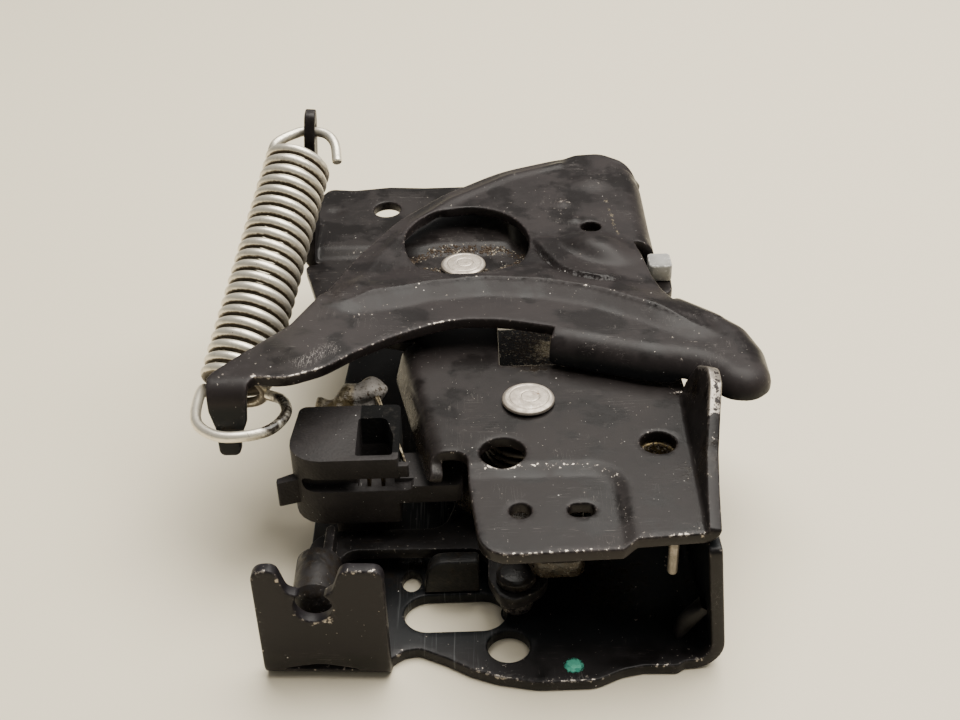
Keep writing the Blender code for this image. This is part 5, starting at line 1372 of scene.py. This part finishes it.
def torsion_spring(name, axis, start, stop):
    """Coils round a rivet, with a straight leg at each end."""
    radius = RIVET_BARREL_R + 4.2
    total = TORSION_TURNS * TORSION_STEPS
    sweep = TORSION_TURNS * 2 * math.pi + stop - start
    coil = [Vector((axis[0] + radius * math.cos(start + sweep * step / total),
                    axis[1] + radius * math.sin(start + sweep * step / total),
                    TORSION_LOW + TORSION_PITCH * TORSION_TURNS * step / total))
            for step in range(total + 1)]
    leg_in = coil[0] + Vector((math.sin(start), -math.cos(start), 0)) * TORSION_LEG
    leg_out = coil[-1] + Vector((-math.sin(stop), math.cos(stop), 0)) * TORSION_LEG
    return tube(name, [leg_in, *coil, leg_out], TORSION_WIRE_R, TORSION_SIDES, even(grease=0.35, shaded=0.3))


# Old grease behind the housing and along the side flange, and the round end of the release lever

GREASE_LINE = [(-42.6, -27.0, 29.6, 2.0), (-39.6, -24.8, 31.4, 3.3), (-36.4, -23.0, 31.0, 2.6),
               (-32.4, -20.6, 31.6, 3.6), (-28.4, -18.0, 31.8, 3.4), (-24.6, -14.0, 31.4, 2.4)]
FLANGE_LINE = [(-28.5, -13.0, 32.0, 1.4), (-26.6, -20.0, 31.0, 2.4), (-24.4, -27.0, 30.6, 1.8),
               (-22.4, -34.0, 31.4, 2.2), (-20.2, -41.0, 31.4, 1.5), (-18.6, -46.0, 31.4, 0.9)]
LUMP_SIDES = 40


def grease_lump(name, line, dusty):
    """A mass of grease along a line of (x, y, z, thickness), with a surface that wanders."""
    dice = random.Random(7)
    waves = [(dice.uniform(-1.2, 1.2), dice.choice((1, 2, 3, 4)), dice.uniform(0, 6.3),
              dice.uniform(0.04, 0.12)) for _ in range(12)]
    path = curve_through([p[:3] for p in line], 10)
    reach = np.interp(np.linspace(0, len(line) - 1, len(path)), range(len(line)), [p[3] for p in line])
    points = []
    for row, (middle, thick) in enumerate(zip(path, reach)):
        end = min(1.0, row / 5, (len(path) - 1 - row) / 5)
        for side in range(LUMP_SIDES):
            angle = 2 * math.pi * side / LUMP_SIDES
            swell = 1 + sum(a * math.sin(f * row / 3 + k * angle + s) for f, k, s, a in waves)
            size = thick * max(0.35, swell) * math.sqrt(max(0.02, end * (2 - end)))
            points.append(middle + Vector((-0.55, 0.83, 0)) * (size * math.cos(angle))
                          + Vector((0, 0, size * math.sin(angle))))
    marks = {"dusty": dusty * smooth(-34.0, -30.5, cloud_of(points).x)}
    return mesh_object(name, points, ring_faces(len(path), LUMP_SIDES), marks, 60)


ARM_BARREL = ((-39.8, -73.6), (-39.8, -58.0), 11.9, 5.4)
BARREL_SIDES = 40


def arm_barrel(name):
    """Round end of the release lever, seen through the keyhole."""
    (x, front), (_, back), high, radius = ARM_BARREL
    profile = [(front, 0.0), (front, 3.0), (front + 0.6, 4.2), (front + 1.9, radius), (back - 1.2, radius),
               (back, radius - 1.2), (back, 0.0)]
    points = []
    for y, r in profile:
        r = max(r, 0.01)
        for step in range(BARREL_SIDES):
            angle = 2 * math.pi * step / BARREL_SIDES
            points.append((x + r * math.cos(angle), y, high + r * math.sin(angle)))
    marks = {"grease": np.full(len(points), 0.3), "corner": 1.0 * (cloud_of(points).y < front + 1)}
    return mesh_object(name, points, ring_faces(len(profile), BARREL_SIDES), marks, 35)


# Cut and moulded pieces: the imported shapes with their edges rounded

def softened(node, width, marks=None):
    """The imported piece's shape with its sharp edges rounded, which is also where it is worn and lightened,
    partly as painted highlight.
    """
    mesh = bmesh.new()
    mesh.from_mesh(frame["nodes"][node].data)
    bmesh.ops.remove_doubles(mesh, verts=mesh.verts[:], dist=1e-6)
    bmesh.ops.dissolve_limit(mesh, angle_limit=math.radians(1.0), verts=mesh.verts[:], edges=mesh.edges[:])
    corner = mesh.loops.layers.float.new("corner")
    sharp = [e for e in mesh.edges if len(e.link_faces) == 2 and e.calc_face_angle(0) > math.radians(28)]
    result = bmesh.ops.bevel(mesh, geom=sharp, offset=width * MM, segments=2, profile=0.5,
                             affect="EDGES", clamp_overlap=True)
    for face in result["faces"]:
        for loop in face.loops:
            loop[corner] = 1.0
    bmesh.ops.triangulate(mesh, faces=[f for f in mesh.faces if len(f.verts) > 4])
    data = bpy.data.meshes.new(node + "_body")
    mesh.to_mesh(data)
    mesh.free()
    data.shade_smooth()
    data.set_sharp_from_angle(angle=math.radians(40))
    if marks:
        store_marks(data, marks(Cloud(model_points(data))))
    return linked(node + "_body", data)


# Floor, light and camera

CAMERA_AT = (0.0, -290.0, 225.0)
CAMERA_PITCH = 34.0
CAMERA_ROLL = 1.7
FOCAL_PX = 1300.0
PHOTO_WIDTH = 960
SENSOR_WIDTH = 36.0
FLOOR_REACH = 3.0
SKY, SKY_STRENGTH = (1.0, 0.985, 0.95), 0.24
LIGHTS = (("key", (0.26, 0.26, 1.10), (1.35, 1.0), 36.0, (1.0, 0.965, 0.90)),
          ("side", (0.8, 0.35, 0.5), (0.4, 0.4), 1.2, (1.0, 0.98, 0.96)))


def add_camera():
    data = bpy.data.cameras.new("camera")
    data.sensor_width = SENSOR_WIDTH
    data.lens = FOCAL_PX * SENSOR_WIDTH / PHOTO_WIDTH
    data.clip_start = 0.01
    item = linked("camera", data)
    tilt = Matrix.Rotation(math.radians(90 - CAMERA_PITCH), 4, "X")
    roll = Matrix.Rotation(math.radians(-CAMERA_ROLL), 4, "Z")
    item.matrix_world = Matrix.Translation(world(CAMERA_AT)) @ tilt @ roll
    bpy.context.scene.camera = item


def add_light(name, place, size, power, colour):
    """A rectangular light that points at the latch."""
    data = bpy.data.lights.new(name, "AREA")
    data.shape = "RECTANGLE"
    data.size, data.size_y = size
    data.energy = power
    data.color = colour
    item = linked(name, data)
    item.location = place
    item.rotation_euler = (-Vector(place)).to_track_quat("-Z", "Y").to_euler()


def add_world():
    data = bpy.data.worlds.new("studio")
    data.use_nodes = True
    background = data.node_tree.nodes["Background"]
    background.inputs["Color"].default_value = (*SKY, 1)
    background.inputs["Strength"].default_value = SKY_STRENGTH
    bpy.context.scene.world = data


def add_floor():
    data = bpy.data.meshes.new("floor")
    corners = [(x * FLOOR_REACH, y * FLOOR_REACH, 0) for x, y in ((-1, -1), (1, -1), (1, 1), (-1, 1))]
    data.from_pydata(corners, [], [(0, 1, 2, 3)])
    item = linked("floor", data)
    data.materials.append(studio_floor())


def claw_marks(cloud):
    return {"grease": np.full(len(cloud.x), 0.45), "grit": 0.45 * smooth(-24, -16, cloud.y)}


def release_rivet_marks(cloud):
    """Dark head over a bright worn collar."""
    collar = smooth(9.0, 7.6, cloud.z) * (cloud.z > 3)
    return {"wear": 0.9 * collar, "corner": collar, "grease": np.full(len(cloud.x), 0.3)}


def housing_marks(cloud):
    return {"grease": spots(cloud, (-21, -38, 36, 6, 0.5), (-26, -30, 36, 8, 0.45), (-22, -46, 30, 6, 0.3)),
            "cream": spots(cloud, (-22, -36, 36, 3.5, 0.42), (-34, -29.5, 36, 3, 0.3))}


def dress(item, material, body, *nodes):
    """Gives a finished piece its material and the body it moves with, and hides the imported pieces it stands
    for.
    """
    item.data.materials.append(material)
    if nodes:
        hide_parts(*nodes)
    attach(item, body)


def dress_all():
    black = coat("frame_coat", (0.0115, 0.0100, 0.0102), 0.42, 0.010, 0.03)
    deck_black = coat("deck_coat", (0.0145, 0.0118, 0.0113), 0.40, 0.012)
    lever_black = coat("lever_coat", (0.0175, 0.0140, 0.0138), 0.42, 0.016)
    small_black = coat("small_coat", (0.015, 0.0135, 0.0135), 0.42)
    plated = zinc("plated")
    rivet_plate = zinc("rivet_plate", (0.56, 0.495, 0.42), 0.48, 0.3)
    dull = zinc("dull_plate", (0.30, 0.27, 0.23), 0.46, 0.8)
    greasy = zinc("greasy_plate", (0.075, 0.062, 0.046), 0.44, 0.9)
    plastic = moulded("housing_plastic", (0.020, 0.0175, 0.0172),
                      shadow=((-29.6, -46.8, 28.0), (0.0, 0.0, 60.0)))
    black_plastic = moulded("block_plastic", (0.009, 0.009, 0.009), 0.45, 0.03)
    grey = moulded("buffer_plastic", (0.27, 0.265, 0.25), 0.55, 0.02)
    brass = zinc("brass", (0.13, 0.10, 0.05), 0.45, 0.6)
    steel_wire = wire("spring_wire")
    dark_wire = wire("dark_wire", (0.07, 0.06, 0.05), 0.5)
    thread = zinc("thread_brass", (0.26, 0.20, 0.10), 0.45, 0.9)

    dress(base_frame(), black, "frame", "base_frame")
    dress(gusset(), black, "frame")
    dress(main_plate(), deck_black, "frame", "main_plate")
    dress(safety_lever(), lever_black, "lever", "safety_lever")
    dress(headed_rivet("claw_rivet_turned", CLAW_AXIS, claw_rivet_marks), rivet_plate, "frame", "claw_rivet")
    dress(headed_rivet("pawl_rivet_turned", PAWL_AXIS, pawl_rivet_marks), rivet_plate, "frame", "pawl_rivet")
    for name, axis in (("claw", CLAW_AXIS), ("pawl", PAWL_AXIS)):
        for end, span in (("lower", LOWER_SPACER), ("upper", UPPER_SPACER)):
            ring = spacer(f"{name}_{end}_ring", axis, *span)
            dress(ring, black_plastic, "frame", f"{name}_spacer_{end}")
    for node, material, body, width, marks in (
            ("release_rivet", small_black, "frame", 0.3, release_rivet_marks),
            ("threaded_bush", thread, "frame", 0.3, even(grease=0.25, grit=0.5)),
            ("stop_pin", dull, "frame", 0.2, None),
            ("claw", greasy, "claw", 0.5, claw_marks),
            ("pawl", small_black, "pawl", 0.5, even(grease=0.42)),
            ("release_lever", small_black, "release", 0.5, even(grease=0.2, wear=0.1)),
            ("lever_stud", plated, "lever", 0.3, even(grease=0.35)),
            ("lever_washer", plated, "lever", 0.3, None),
            ("stop_buffer", grey, "frame", 1.2, None),
            ("switch_housing", plastic, "frame", 0.6, housing_marks),
            ("switch_plunger", grey, "plunger", 0.2, None),
            ("contact_blade_1", brass, "frame", 0.12, None),
            ("contact_blade_2", brass, "frame", 0.12, None),
            ("guide_block", black_plastic, "frame", 0.5, even(grease=0.25))):
        dress(softened(node, width, marks), material, body, node)
    old_grease = clotted("clotted_grease")
    dress(grease_lump("grease_lump", GREASE_LINE, 1.0), old_grease, "frame")
    dress(grease_lump("grease_streak", FLANGE_LINE, 0.0), old_grease, "frame")
    dress(arm_barrel("release_lever_barrel"), small_black, "release")
    for name, axis, start, stop in (("claw", CLAW_AXIS, -100, -40), ("pawl", PAWL_AXIS, 60, 150)):
        spring = torsion_spring(name + "_spring_wire", axis, math.radians(start), math.radians(stop))
        dress(spring, dark_wire, "frame", name + "_spring")
    spring = tension_spring()
    spring.data.materials.append(steel_wire)
    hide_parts("tension_spring")
    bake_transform(spring)


add_camera()
add_floor()
add_world()
for light in LIGHTS:
    add_light(*light)
dress_all()
